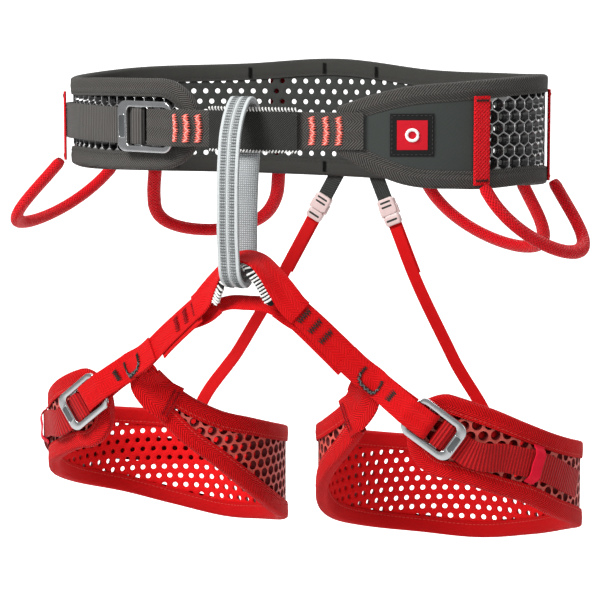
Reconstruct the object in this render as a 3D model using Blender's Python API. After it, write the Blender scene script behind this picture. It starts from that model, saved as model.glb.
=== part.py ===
"""Climbing harness: padded waist belt, belay loop, bridge, two leg loops, rear risers and gear loops.

Frame: origin at the centre of the waist opening, half way up the belt; +Z up, the wearer faces -Y, and +X is
the wearer's left. Shapes are worked out in millimetres and written in metres.
"""

import math

import bmesh
import bpy
import numpy as np
from mathutils import Vector

MM = 0.001

# Driving dimensions, in millimetres.
WAIST_HALF_WIDTH = 170.5
WAIST_CENTRE_X = -3.5
WAIST_HALF_DEPTH = 98.5
LEG_RADII = {"left": 87.0, "right": 81.5}
LEG_CENTRES_X = {"left": 107.5, "right": -111.5}
WAIST_WEBBING = 25.0
LEG_WEBBING = 19.0
BELAY_WEBBING = 15.5
WEBBING_THICK = 1.3
GAP = 0.3

# Heights off the inner face of a padded band, from the body outwards.
LINING = (0.0, 1.5)
NET = (LINING[1] + GAP, 5.0)
PANEL = (NET[1] + GAP, NET[1] + 1.1)
BINDING_WALL = 1.2
BINDING_ROOM = 0.45
BINDING_INNER = -BINDING_ROOM - BINDING_WALL
BINDING_OUTER = NET[1] + BINDING_ROOM + BINDING_WALL
BINDING_WIDTH = 11.0
LOAD_LAYER = BINDING_OUTER + 0.4 + WEBBING_THICK / 2
TAIL_LAYER = LOAD_LAYER + WEBBING_THICK + GAP

# The waist belt's edges: angle round the body (0 = wearer's left, 90 = back), top and bottom heights.
WAIST_EDGES = (
    (-68, 16, -12),
    (-61, 23, -23),
    (-54, 28, -31),
    (-36, 32.5, -36),
    (-10, 35.5, -35),
    (41, 33.5, -43),
    (69, 34, -45),
    (95, 41, -43.5),
    (119, 37, -42),
    (148, 35, -40),
    (180, 31, -35),
    (200, 30, -29),
    (232, 32, -28),
    (258.4, 33, -25),
)
WAIST_TIP_START = 247.5

# A leg band's edges: angle round the thigh (0 = inner thigh, 90 = back, 180 = outside), top and bottom.
LEG_EDGES = (
    (-69, -171, -201.5),
    (-60, -183.5, -216),
    (-40, -201, -240),
    (-20, -210, -263),
    (0, -218, -281),
    (25, -226, -294),
    (55, -233, -303),
    (85, -234, -307),
    (115, -229, -299),
    (140, -225, -288),
    (175, -216, -273),
    (200, -205, -259),
    (216, -195, -247),
    (232, -184, -238),
    (248, -175, -229),
    (268, -168, -222),
)
LEG_TIP_START = 251.0

CHARCOAL = ((0.060, 0.062, 0.058), 0.85, 0.0)
GREY_TAPE = ((0.125, 0.118, 0.108), 0.80, 0.0)
NET_BLACK = ((0.012, 0.012, 0.012), 0.35, 0.0)
RED = ((0.600, 0.010, 0.012), 0.65, 0.0)
DARK_RED = ((0.300, 0.006, 0.008), 0.65, 0.0)
BRIGHT_RED = ((0.720, 0.015, 0.040), 0.55, 0.0)
SALMON = ((0.560, 0.110, 0.080), 0.60, 0.0)
PALE_GREY = ((0.520, 0.540, 0.540), 0.75, 0.0)
SILVER = ((0.620, 0.640, 0.650), 0.25, 1.0)
CLIP_PINK = ((0.750, 0.620, 0.610), 0.45, 0.0)
WHITE_THREAD = ((0.700, 0.700, 0.680), 0.70, 0.0)
LABEL_RED = ((0.520, 0.015, 0.030), 0.50, 0.0)


def clear_scene():
    for obj in list(bpy.data.objects):
        bpy.data.objects.remove(obj)


def material(name, finish):
    colour, roughness, metallic = finish
    made = bpy.data.materials.new(name)
    made.use_nodes = True
    shader = made.node_tree.nodes["Principled BSDF"]
    shader.inputs["Base Color"].default_value = (*colour, 1.0)
    shader.inputs["Roughness"].default_value = roughness
    shader.inputs["Metallic"].default_value = metallic
    return made


def pivot(name, point):
    """An empty on a joint's axis, for the moving pieces to hang from."""
    empty = bpy.data.objects.new(name, None)
    empty.location = Vector(point) * MM
    empty.empty_display_size = 0.01
    bpy.context.scene.collection.objects.link(empty)
    bpy.context.view_layer.update()
    return empty


def loft(name, rings, finish, closed=False, parent=None):
    """One closed solid through matching rings of points, with capped ends unless it closes on itself."""
    origin = Vector(parent.location) if parent else Vector()
    work = bmesh.new()
    loops = [[work.verts.new(Vector(point) * MM - origin) for point in ring] for ring in rings]
    following = loops[1:] + loops[:1] if closed else loops[1:]
    for one, two in zip(loops, following):
        for i in range(len(one)):
            work.faces.new((one[i - 1], one[i], two[i], two[i - 1]))
    if not closed:
        work.faces.new(loops[0][::-1])
        work.faces.new(loops[-1])
    bmesh.ops.recalc_face_normals(work, faces=work.faces)
    if work.calc_volume(signed=True) < 0:
        bmesh.ops.reverse_faces(work, faces=work.faces)
    mesh = bpy.data.meshes.new(name)
    work.to_mesh(mesh)
    work.free()
    mesh.materials.append(material(name, finish))
    mesh.shade_smooth()
    mesh.set_sharp_from_angle(angle=math.radians(35))
    obj = bpy.data.objects.new(name, mesh)
    bpy.context.scene.collection.objects.link(obj)
    obj.parent = parent
    return obj


def unit(rows):
    return rows / np.linalg.norm(rows, axis=-1, keepdims=True)


def smooth_rows(stations, step, closed=False):
    """Rows every `step` mm on a smooth curve through the stations, whose first three columns are x, y, z."""
    rows = np.array(stations, float)
    if closed:
        rows = np.vstack([rows[-2:], rows, rows[:3]])
    times = np.concatenate([[0.0], np.cumsum(np.linalg.norm(np.diff(rows[:, :3], axis=0), axis=1))])
    slopes = np.gradient(rows, times, axis=0)
    first, last = (times[2], times[-3]) if closed else (times[0], times[-1])
    count = max(2, round((last - first) / step) + 1)
    wanted = np.linspace(first, last, count)[: -1 if closed else None]
    k = np.clip(np.searchsorted(times, wanted, side="right") - 1, 0, len(times) - 2)
    span = (times[k + 1] - times[k])[:, None]
    u = (wanted[:, None] - times[k][:, None]) / span
    return (
        (2 * u**3 - 3 * u**2 + 1) * rows[k]
        + (u**3 - 2 * u**2 + u) * span * slopes[k]
        + (3 * u**2 - 2 * u**3) * rows[k + 1]
        + (u**3 - u**2) * span * slopes[k + 1]
    )


def frames(rows, closed=False):
    """Position, direction, face normal and sideways direction of each row (x, y, z, normal x, y, z)."""
    points = rows[:, :3]
    if closed:
        along = unit(np.roll(points, -1, axis=0) - np.roll(points, 1, axis=0))
    else:
        along = unit(np.gradient(points, axis=0))
    normal = rows[:, 3:6] - along * (rows[:, 3:6] * along).sum(axis=1, keepdims=True)
    normal = unit(normal)
    return points, along, normal, np.cross(along, normal)


def ribbon(name, rows, width, thick, finish, closed=False, parent=None, rounded=0):
    """A flat strap along the rows. `width` is one number or one for each row; `rounded` makes it a tube."""
    points, _, normal, across = frames(rows, closed)
    widths = np.broadcast_to(np.asarray(width, float), (len(rows),))
    if rounded:
        turns = np.linspace(0, 2 * math.pi, rounded, endpoint=False)
        corners = [(math.cos(turn) / 2, math.sin(turn) / 2) for turn in turns]
    else:
        corners = [(-0.5, -0.5), (0.5, -0.5), (0.5, 0.5), (-0.5, 0.5)]
    rings = [
        [points[i] + across[i] * (a * widths[i]) + normal[i] * (b * thick) for a, b in corners]
        for i in range(len(rows))
    ]
    return loft(name, rings, finish, closed, parent)


def lay(base, profile):
    """Strap rows through (distance, height) pairs over the base, so a strap can fold back on itself."""
    points, along, normal, _ = frames(base)
    lengths = np.concatenate([[0.0], np.cumsum(np.linalg.norm(np.diff(points, axis=0), axis=1))])
    pairs = np.array(profile, float)
    turn = unit(np.gradient(pairs, axis=0))
    rows = []
    for (s, height), (forward, rise) in zip(pairs, turn):
        inside = min(max(s, 0.0), lengths[-1])
        where = [np.interp(inside, lengths, points[:, k]) for k in range(3)]
        ahead = unit(np.array([np.interp(inside, lengths, along[:, k]) for k in range(3)]))
        out = unit(np.array([np.interp(inside, lengths, normal[:, k]) for k in range(3)]))
        place = np.array(where) + ahead * (s - inside) + out * height
        rows.append([*place, *(out * forward - ahead * rise)])
    return np.array(rows)


def run(start, end, step=5.0):
    """Evenly spaced pairs on a straight line between two (distance, height) pairs, the end left out."""
    count = max(1, round(math.dist(start, end) / step))
    return [tuple(np.array(start) + (np.array(end) - np.array(start)) * i / count) for i in range(count)]


def half_turn(centre, radius, first, last, steps=6):
    """(distance, height) pairs on an arc between two angles in degrees, the last left out."""
    angles = np.linspace(math.radians(first), math.radians(last), steps + 1)[:-1]
    return [(centre[0] + radius * math.cos(angle), centre[1] + radius * math.sin(angle)) for angle in angles]


# Padded bands.


def edge_heights(edges, angle):
    """Top and bottom of a band at an angle, on smooth curves through its edge table."""
    table = np.array(edges, float)
    slopes = np.gradient(table[:, 1:], table[:, 0], axis=0)
    k = int(np.clip(np.searchsorted(table[:, 0], angle, side="right") - 1, 0, len(table) - 2))
    span = table[k + 1, 0] - table[k, 0]
    u = (angle - table[k, 0]) / span
    return (
        (2 * u**3 - 3 * u**2 + 1) * table[k, 1:]
        + (u**3 - 2 * u**2 + u) * span * slopes[k]
        + (3 * u**2 - 2 * u**3) * table[k + 1, 1:]
        + (u**3 - u**2) * span * slopes[k + 1]
    )


class Band:
    """A padded belt or leg band: a wall on an ellipse, with a table of edge heights and a round tip."""

    def __init__(self, centre_x, half_width, half_depth, edges, tip_start, mirror):
        self.centre_x = centre_x
        self.half_width = half_width
        self.half_depth = half_depth
        self.edges = edges
        self.tip_start = tip_start
        self.mirror = mirror
        self.first = edges[0][0]
        self.last = edges[-1][0]

    def outward(self, angle):
        turn = math.radians(angle)
        raw = np.array([math.cos(turn) / self.half_width, math.sin(turn) / self.half_depth, 0.0])
        return unit(raw) * (self.mirror, 1, 1)

    def point(self, angle, height, off):
        turn = math.radians(angle)
        foot = np.array(
            [
                self.centre_x + self.mirror * self.half_width * math.cos(turn),
                self.half_depth * math.sin(turn),
                height,
            ]
        )
        return foot + self.outward(angle) * off

    def speed(self, angle):
        """Millimetres along the wall for each degree."""
        turn = math.radians(angle)
        return math.radians(math.hypot(self.half_width * math.sin(turn), self.half_depth * math.cos(turn)))

    def heights(self, angle):
        """Top and bottom at an angle, drawn together to the round tip at the free end."""
        top, bottom = edge_heights(self.edges, min(angle, self.tip_start))
        if angle <= self.tip_start:
            return top, bottom
        along = (angle - self.tip_start) / (self.last - self.tip_start)
        share = math.sqrt(max(0.0, 1 - along**2))
        middle = (top + bottom) / 2
        return middle + (top - middle) * share, middle + (bottom - middle) * share

    def angles(self, step, end):
        """Angles from the narrow end to `end`, closer together round the tip."""
        plain = np.linspace(self.first, self.tip_start, round((self.tip_start - self.first) / step) + 1)
        full = math.asin(min(1.0, (end - self.tip_start) / (self.last - self.tip_start)))
        tip = self.tip_start + (self.last - self.tip_start) * np.sin(np.linspace(0, full, 8)[1:])
        return [*plain, *tip]


def band_layer(name, band, layer, inset, step, finish, parent=None):
    """A closed wall between two heights off the band's inner face, set in from the edges."""
    end = band.last - 0.03 * (band.last - band.tip_start)
    rings = []
    for angle in band.angles(step, end):
        top, bottom = band.heights(angle)
        top, bottom = top - inset, bottom + inset
        rings.append(
            [
                band.point(angle, bottom, layer[0]),
                band.point(angle, bottom, layer[1]),
                band.point(angle, top, layer[1]),
                band.point(angle, top, layer[0]),
            ]
        )
    return loft(name, rings, finish, parent=parent)


def binding(name, band, step, side, finish, parent=None):
    """A tape folded over a band's top (side 1) or bottom (side -1) edge, to the middle of its tip."""
    angles = band.angles(step, band.last)
    heights = [band.heights(angle)[0 if side > 0 else 1] for angle in angles]
    speeds = [band.speed(angle) for angle in angles]
    along = unit(np.stack([np.gradient(angles) * speeds, np.gradient(heights)], axis=1))
    along[-1] = (0.0, -side)
    rings = []
    for i, angle in enumerate(angles):
        ahead, rise = along[i]
        inward = (side * rise, -side * ahead)
        lift = side * GAP if i == len(angles) - 1 else 0.0
        section = [
            (BINDING_WIDTH, BINDING_INNER),
            (-1.5, BINDING_INNER),
            (-1.5, BINDING_OUTER),
            (BINDING_WIDTH, BINDING_OUTER),
            (BINDING_WIDTH, NET[1] + BINDING_ROOM),
            (-GAP, NET[1] + BINDING_ROOM),
            (-GAP, -BINDING_ROOM),
            (BINDING_WIDTH, -BINDING_ROOM),
        ]
        rings.append(
            [
                band.point(angle + inward[0] * deep / speeds[i], heights[i] + inward[1] * deep + lift, off)
                for deep, off in section
            ]
        )
    return loft(name, rings, finish, parent=parent)


def rounded_outline(length, width, radius, steps=5):
    """Corner arcs of a rounded rectangle, anticlockwise from the +x side."""
    points = []
    for k, (sx, sy) in enumerate(((1, 1), (-1, 1), (-1, -1), (1, -1))):
        for i in range(steps + 1):
            angle = math.radians(90 * k + 90 * i / steps)
            points.append(
                (
                    sx * (length / 2 - radius) + radius * math.cos(angle),
                    sy * (width / 2 - radius) + radius * math.sin(angle),
                )
            )
    return points


def ring_plate(name, place, outer, window, shift, thick, finish, parent=None):
    """A flat rounded ring with chamfered edges: a buckle plate. `shift` moves its window along the plate."""
    centre, along, normal, across = place
    chamfer = min(0.5, thick / 4)
    rings = []
    for (ox, oy), (ix, iy) in zip(rounded_outline(*outer), rounded_outline(*window)):
        far = np.array((ox, oy))
        near = np.array((ix + shift, iy))
        inset = unit(near - far) * chamfer
        section = [
            (far + inset, thick / 2),
            (far, thick / 2 - chamfer),
            (far, chamfer - thick / 2),
            (far + inset, -thick / 2),
            (near - inset, -thick / 2),
            (near, chamfer - thick / 2),
            (near, thick / 2 - chamfer),
            (near - inset, thick / 2),
        ]
        rings.append([centre + along * x + across * y + normal * z for (x, y), z in section])
    return loft(name, rings, finish, closed=True, parent=parent)


def place_on(base, s, height):
    """Centre and axes of a plate that lies flat over the base line at a distance along it."""
    row = lay(base, [(s - 1, height), (s, height), (s + 1, height)])
    points, along, normal, across = frames(row)
    return points[1], along[1], normal[1], across[1]


# The two-plate buckle: heights of its layers off the band.
SLIDER_THICK = 2.0
FRAME_THICK = 2.7
HINGE_ROOM = 1.1
SLIDER_HEIGHT = LOAD_LAYER + WEBBING_THICK / 2 + 0.4 + SLIDER_THICK / 2
FOLD_LAYER = SLIDER_HEIGHT + SLIDER_THICK / 2 + GAP + WEBBING_THICK / 2
FRAME_HEIGHT = SLIDER_HEIGHT + SLIDER_THICK / 2 + GAP + FRAME_THICK / 2
OVER_LAYER = FRAME_HEIGHT + FRAME_THICK / 2 + HINGE_ROOM + WEBBING_THICK / 2
UNDER_LAYER = LOAD_LAYER + 0.1
TOP_LAYER = UNDER_LAYER + WEBBING_THICK + GAP


class Buckle:
    """A two-plate buckle for one webbing width, with distances along the strap from its middle."""

    def __init__(self, webbing, size):
        self.webbing = webbing
        self.half = 24.0 * size
        self.bar = 8.0 * size
        self.far_bar = 4.0 * size
        self.slider_bar = 6.5 * size
        self.slider_from = -11.0 * size
        self.slider_to = 12.0 * size

    def build(self, prefix, base, s, finish, parent=None):
        """The slider plate, and the outer frame that tilts on its far bar, `s` mm along the base line."""
        ring_plate(
            prefix + "_frame",
            place_on(base, s, FRAME_HEIGHT),
            (2 * self.half, self.webbing + 10.0, 7.0),
            (2 * self.half - self.bar - self.far_bar, self.webbing + 1.6, 3.5),
            (self.bar - self.far_bar) / 2,
            FRAME_THICK,
            finish,
            pivot(prefix + "_pivot", self.hinge_point(base, s)),
        )
        length = self.slider_to - self.slider_from
        ring_plate(
            prefix + "_slider",
            place_on(base, s + (self.slider_to + self.slider_from) / 2, SLIDER_HEIGHT),
            (length, self.webbing + 7.0, 4.0),
            (length - 2 * self.slider_bar, self.webbing + 1.5, 2.0),
            0.0,
            SLIDER_THICK,
            finish,
            parent,
        )

    def hinge_point(self, base, s):
        return place_on(base, s + self.half - self.far_bar / 2, FRAME_HEIGHT)[0]

    def adjusting_profile(self, s, root, tail_end):
        """Webbing out along the band, over the slider bar and back under the frame bar as the tail."""
        radius = (FOLD_LAYER - LOAD_LAYER) / 2
        turn_at = (s + self.slider_from + self.slider_bar - 0.7, (FOLD_LAYER + LOAD_LAYER) / 2)
        drop = (s + self.slider_from - 0.2, FOLD_LAYER)
        return [
            *run((root, LOAD_LAYER), (turn_at[0], LOAD_LAYER)),
            *half_turn(turn_at, radius, -90, 90),
            *run((turn_at[0], FOLD_LAYER), drop, 2.5),
            drop,
            (drop[0] - 1.0, FOLD_LAYER - 0.5),
            (drop[0] - 2.2, TAIL_LAYER + 0.6),
            (drop[0] - 3.4, TAIL_LAYER),
            *run((drop[0] - 6.0, TAIL_LAYER), (tail_end, TAIL_LAYER)),
            (tail_end, TAIL_LAYER),
        ]

    def anchor_profile(self, s, end, far):
        """Webbing in from `far` under the plates, round both far bars, and back over them to `end`."""
        turn_at = (s + self.slider_to - self.slider_bar + 1.1, (UNDER_LAYER + OVER_LAYER) / 2)
        edge = s + self.half + 1
        return [
            *run((far, UNDER_LAYER), (turn_at[0], UNDER_LAYER)),
            *half_turn(turn_at, (OVER_LAYER - UNDER_LAYER) / 2, 270, 90),
            *run((turn_at[0], OVER_LAYER), (edge, OVER_LAYER)),
            (edge, OVER_LAYER),
            (edge + 6, OVER_LAYER - 2.6),
            (edge + 12, TOP_LAYER + 1.3),
            (edge + 18, TOP_LAYER),
            *run((edge + 22, TOP_LAYER), (end, TOP_LAYER)),
            (end, TOP_LAYER),
        ]


# Waist.

WAIST_WEBBING_HEIGHT = 1.5
WAIST_BUCKLE_ANGLE = 244.8
WAIST_BUCKLE = Buckle(WAIST_WEBBING, 1.0)
LEG_BUCKLE = Buckle(LEG_WEBBING, 0.83)
STRAIGHT_REACH = 26.0  # how far each way from a buckle's middle its strap line is straight

# Distances along the waist webbing: its two ends, then the folded end and the guard from the buckle.
WAIST_ROOT = 12.0
WAIST_TAIL_END = 4.0
WAIST_FAR_END = 2.0
WAIST_FOLD_END = 66.0
GUARD_REACH = (50.0, 117.0)
GUARD_THICK = 1.0
waist = Band(WAIST_CENTRE_X, WAIST_HALF_WIDTH, WAIST_HALF_DEPTH, WAIST_EDGES, WAIST_TIP_START, 1)


def waist_base():
    """The waist webbing's line, from the wearer's right side round the front to the belt's narrow end."""
    rows = []
    for angle in (168, 180, 192, 204, 214, 223, 231, 236, 243, 250, 256, 264, 273, 282, 291, 299):
        height = WAIST_WEBBING_HEIGHT - 2.5 * max(0.0, (214 - angle) / 46)
        rows.append([*waist.point(angle, height, 0.0), *waist.outward(angle)])
    return smooth_rows(rows, 4.0)


def distance_at(base, point):
    """How far along the base line its nearest row to a point lies."""
    lengths = np.concatenate([[0.0], np.cumsum(np.linalg.norm(np.diff(base[:, :3], axis=0), axis=1))])
    return float(lengths[np.argmin(np.linalg.norm(base[:, :3] - point, axis=1))])


def straight_near(base, s, reach):
    """The base line with a straight stretch `reach` mm each way round `s`, so rigid plates lie flat on it."""
    lengths = np.concatenate([[0.0], np.cumsum(np.linalg.norm(np.diff(base[:, :3], axis=0), axis=1))])
    rows = base.copy()
    middle = np.array([np.interp(s, lengths, base[:, k]) for k in range(6)])
    ahead = np.array([np.interp(s + 1, lengths, base[:, k]) for k in range(3)]) - middle[:3]
    ahead = unit(ahead)
    for i, length in enumerate(lengths):
        away = abs(length - s)
        share = min(1.0, max(0.0, (2 * reach - away) / reach))
        share = share * share * (3 - 2 * share)
        rows[i, :3] += (middle[:3] + ahead * (length - s) - rows[i, :3]) * share
        rows[i, 3:] += (middle[3:] - rows[i, 3:]) * share
    return rows


def build_waist():
    band_layer("waist_lining", waist, LINING, 1.0, 5.5, CHARCOAL)
    band_layer("waist_net", waist, NET, 0.0, 5.5, NET_BLACK)
    binding("waist_top_binding", waist, 5.5, 1, GREY_TAPE)
    binding("waist_bottom_binding", waist, 5.5, -1, GREY_TAPE)
    base = waist_base()
    middle = distance_at(base, waist.point(WAIST_BUCKLE_ANGLE, WAIST_WEBBING_HEIGHT, 0.0))
    base = straight_near(base, middle, STRAIGHT_REACH)
    length = float(np.linalg.norm(np.diff(base[:, :3], axis=0), axis=1).sum())
    ribbon(
        "waist_adjust_webbing",
        lay(base, WAIST_BUCKLE.adjusting_profile(middle, WAIST_ROOT, WAIST_TAIL_END)),
        WAIST_WEBBING,
        WEBBING_THICK,
        GREY_TAPE,
    )
    ribbon(
        "waist_tie_in_webbing",
        lay(base, WAIST_BUCKLE.anchor_profile(middle, middle + WAIST_FOLD_END, length - WAIST_FAR_END)),
        WAIST_WEBBING,
        WEBBING_THICK,
        GREY_TAPE,
    )
    WAIST_BUCKLE.build("waist_buckle", base, middle, SILVER)
    guard_height = UNDER_LAYER + 2 * (WEBBING_THICK + GAP) + 0.1
    first, last = GUARD_REACH
    ribbon(
        "waist_tie_in_guard",
        lay(base, run((middle + first, guard_height), (middle + last, guard_height))),
        WAIST_WEBBING + 3.0,
        GUARD_THICK,
        CHARCOAL,
    )


# The label's patch and the side panel behind it, by their angles on the belt.
LABEL_SIDE = 21.0
LABEL_THICK = 1.0
LABEL_HEIGHT = -1.0
LABEL_ANGLES = (-54.1, -50.0, -45.9)
PANEL_ANGLES = (-63.0, -33.0)


def build_label():
    """A square patch with a generic mark, on the wearer's left of the belt's front."""
    off = PANEL[1] + GAP + LABEL_THICK / 2
    rows = [[*waist.point(angle, LABEL_HEIGHT, off), *waist.outward(angle)] for angle in LABEL_ANGLES]
    ribbon("waist_label", smooth_rows(rows, 4.0), LABEL_SIDE, LABEL_THICK, LABEL_RED)


def build_side_panel():
    """The plain cloth panel over the net, between the bindings, on the wearer's left of the front."""
    rings = []
    for angle in np.linspace(*PANEL_ANGLES, 8):
        top, bottom = waist.heights(angle)
        rise = (waist.heights(angle + 0.5)[0] - top) / (0.5 * waist.speed(angle))
        fall = (bottom - waist.heights(angle + 0.5)[1]) / (0.5 * waist.speed(angle))
        reach = BINDING_WIDTH * math.hypot(1.0, max(rise, fall)) + 1.2
        rings.append(
            [
                waist.point(angle, bottom + reach, PANEL[0]),
                waist.point(angle, bottom + reach, PANEL[1]),
                waist.point(angle, top - reach, PANEL[1]),
                waist.point(angle, top - reach, PANEL[0]),
            ]
        )
    loft("waist_side_panel", rings, CHARCOAL)


# Gear loops: the angles of the two ends on the belt, how far the belly leans towards the second end, how
# far it stands out and hangs down, and how square it is.
GEAR_LOOPS = (
    ("front_left", -30.5, 12.0, 0.26, 31.0, 46.0, 0.80),
    ("rear_left", 73.0, 39.0, 0.22, 36.0, 51.0, 0.75),
    ("front_right", 161.0, 198.0, 0.28, 44.0, 46.0, 0.80),
    ("rear_right", 111.0, 146.0, 0.10, 30.0, 50.0, 0.42),
)
GEAR_TUBE = (10.4, 8.0)
GEAR_STRAP = (12.0, 1.2)
GEAR_RISE = 1.0


def gear_height_off(name, part):
    """How far off the band a gear strap runs; one of them crosses outside the waist webbing."""
    over_webbing = name == "front_right" and part == "second"
    return (TAIL_LAYER + WEBBING_THICK / 2 if over_webbing else BINDING_OUTER) + 0.4 + GEAR_STRAP[1] / 2


def build_gear_loop(name, first, second, lean, reach, hang, square):
    """A stiffened tube that hangs out from the belt, and the flat straps that carry its ends."""
    ends = []
    for part, angle in (("first", first), ("second", second)):
        top, bottom = waist.heights(angle)
        off = gear_height_off(name, part)
        levels = np.linspace(top - 9.0, bottom + GEAR_RISE + 0.5, 6)
        strap = np.array([[*waist.point(angle, level, off), *waist.outward(angle)] for level in levels])
        ribbon("gear_strap_%s_%s" % (name, part), strap, GEAR_STRAP[0], GEAR_STRAP[1], RED)
        ends.append(waist.point(angle, bottom + GEAR_RISE - 0.2, off + (GEAR_TUBE[1] - GEAR_STRAP[1]) / 2))
    start, end = ends
    chord = end - start
    middle = (start + end) / 2
    outward = unit(np.array([chord[1], -chord[0], 0.0]))
    if np.dot(outward, middle) < 0:
        outward = -outward
    stations = []
    for k in range(17):
        turn = math.pi * k / 16
        belly = max(0.0, math.sin(turn)) ** square
        share = 0.5 - 0.5 * math.cos(turn) + lean * belly**2
        drop = np.array((0.0, 0.0, hang * belly))
        stations.append([*(start + chord * share + outward * reach * belly - drop), *outward])
    rows = smooth_rows(stations, 6.0)
    rows[:, 3:] = outward + np.array((0.0, 0.0, 0.8))
    rows[0, 3:] = outward
    rows[-1, 3:] = outward
    hinge = pivot("gear_loop_%s_pivot" % name, middle)
    ribbon("gear_loop_" + name, rows, GEAR_TUBE[0], GEAR_TUBE[1], RED, parent=hinge, rounded=8)


# Belay loop and bridge.
BELAY_OUTLINE = (
    (-113.5, 22.3),
    (-123, 15.5),
    (-131, 2),
    (-135, -18),
    (-136.5, -50),
    (-135.5, -78),
    (-131.2, -96.5),
    (-122, -101.5),
    (-113, -97),
    (-108.6, -84),
    (-107.2, -55),
    (-104.4, -26),
    (-101.8, -8),
    (-101.4, 8),
    (-104.6, 18.5),
)
BELAY_THICK = 3.0
BELAY_AXIS = (0.0, -108.0, 0.0)


def build_belay_loop():
    stations = [[0.0, y, z, 0.0, 0.0, 0.0] for y, z in BELAY_OUTLINE]
    rows = smooth_rows(stations, 6.0, closed=True)
    points = rows[:, :3]
    along = unit(np.roll(points, -1, axis=0) - np.roll(points, 1, axis=0))
    rows[:, 3:] = np.cross(along, (1.0, 0.0, 0.0))
    hinge = pivot("belay_loop_pivot", BELAY_AXIS)
    ribbon("belay_loop", rows, BELAY_WEBBING, BELAY_THICK, PALE_GREY, True, hinge)


BRIDGE_X = 5.0
BRIDGE_Y = -121.0
LEG_ROOT_REACH = 33.0


def across_bridge(half):
    """Stations from one end of the bridge to the other, from those of its wearer's left half."""
    right = [(BRIDGE_X - x, y, z, -nx, ny, nz) for x, y, z, nx, ny, nz in half[:0:-1]]
    return right + [(BRIDGE_X + x, y, z, nx, ny, nz) for x, y, z, nx, ny, nz in half]


def build_bridge():
    parent = pivot("bridge_pivot", (BRIDGE_X, BRIDGE_Y, -112.0))
    arch = [
        (0, BRIDGE_Y, -82, 0, 0, 1),
        (9.5, BRIDGE_Y, -84.5, 0.42, -0.05, 0.9),
        (18, BRIDGE_Y + 0.5, -92.5, 0.66, -0.35, 0.64),
        (25, BRIDGE_Y + 1.5, -102.0, 0.50, -0.70, 0.52),
        (LEG_ROOT_REACH - 1.0, BRIDGE_Y + 3.2, -112.3, 0.28, -0.87, 0.42),
    ]
    rows = smooth_rows(across_bridge(arch), 2.0)
    ribbon("bridge_upper_strap", rows, LEG_WEBBING, 1.6, RED, parent=parent)
    inner = rows[6:-6].copy()
    inner[:, :3] -= frames(rows)[2][6:-6] * 2.3
    ribbon("bridge_guard", inner, LEG_WEBBING - 3.0, 1.6, WHITE_THREAD, parent=parent)
    lower = [
        (0, BRIDGE_Y + 5.0, -114.0, 0, -0.72, 0.69),
        (14, BRIDGE_Y + 5.2, -114.6, 0.05, -0.74, 0.66),
        (23, BRIDGE_Y + 6.5, -118.0, 0.26, -0.82, 0.52),
        (LEG_ROOT_REACH - 4.0, BRIDGE_Y + 8.4, -123.0, 0.28, -0.87, 0.42),
    ]
    ribbon("bridge_lower_strap", smooth_rows(across_bridge(lower), 4.0), 12.0, 1.6, RED, parent=parent)


# Legs. The strap from the bridge down to the thigh, as x, y, z and the way its face looks, for the wearer's
# left leg; the right leg mirrors it. The last column is how much of the bridge's shift each row follows.
LEG_STRAP_ROUTE = (
    (LEG_ROOT_REACH, -117.6, -113.5, 0.28, -0.87, 0.42, 1.0),
    (46.5, -113.0, -125.5, 0.28, -0.87, 0.42, 0.7),
    (62.5, -107.5, -140.5, 0.26, -0.88, 0.40, 0.3),
    (80, -101.5, -157.5, 0.18, -0.92, 0.32, 0.0),
)
LEG_FRONT_ROUTE = (
    (276, -171.5),
    (266, -183.5),
    (257.5, -193.0),
    (251, -199.5),
    (244, -205.5),
)
LEG_TAIL_ROUTE = (
    (236, -210.5),
    (226, -216.0),
    (214, -221.5),
    (203, -228.5),
    (194, -236.0),
    (184, -243.0),
)
LEG_BUCKLE_PLACE = (257.0, -193.5)
# On the wearer's right the leg webbing carries on round the back of the thigh.
LEG_BACK_ROUTE = (
    (168, -249.0),
    (148, -254.0),
    (125, -258.5),
    (100, -261.5),
    (75, -262.5),
    (52, -260.5),
)
KEEPER_PLACE = (214.0, -221.5)
LOWER_STRAP_SHIFT = 5.0

# Distances along the leg webbing: its two ends, the folded end from the buckle, and the lower strap's length.
LEG_ROOT = 16.0
LEG_TAIL_END = 2.0
LEG_FOLD_END = 78.0
LOWER_STRAP_LENGTH = 52.0
YOKE_WIDTH = 23.0
YOKE_WAIST = 3.0  # how much narrower the yoke is halfway


def leg_base(band, side):
    """The line of the leg webbing, from the outside of the thigh to the front and up to the bridge."""
    rows = []
    route = LEG_FRONT_ROUTE + LEG_TAIL_ROUTE + (LEG_BACK_ROUTE if side < 0 else ())
    for angle, height in route[::-1]:
        rows.append([*band.point(angle, height, 0.0), *band.outward(angle)])
    for x, y, z, nx, ny, nz, share in LEG_STRAP_ROUTE[::-1]:
        normal = unit(np.array((side * nx, ny, nz)))
        place = np.array((side * x + BRIDGE_X * share, y, z)) - normal * (UNDER_LAYER + 1.6)
        rows.append([*place, *normal])
    return smooth_rows(rows, 3.5)


def build_keeper(name, base, s, parent):
    """An elastic loop over the adjusting webbing and its tail, sewn to the band at each side of them."""
    points, _, normal, across = frames(lay(base, [(s - 1, 0.0), (s, 0.0), (s + 1, 0.0)]))
    reach = LEG_WEBBING / 2
    arch = ((3.6, 7.3), (2.1, 7.6), (1.2, 9.3), (-0.6, 11.0), (-reach, 11.2))
    pairs = [(-reach - over, off) for over, off in arch] + [(reach + over, off) for over, off in arch[-2::-1]]
    pairs = np.array(pairs)
    turn = unit(np.gradient(pairs, axis=0))
    rows = [
        [*(points[1] + across[1] * w + normal[1] * off), *(normal[1] * forward - across[1] * rise)]
        for (w, off), (forward, rise) in zip(pairs, turn)
    ]
    ribbon(name, np.array(rows), 9.0, 0.8, BRIGHT_RED, parent=parent)


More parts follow.
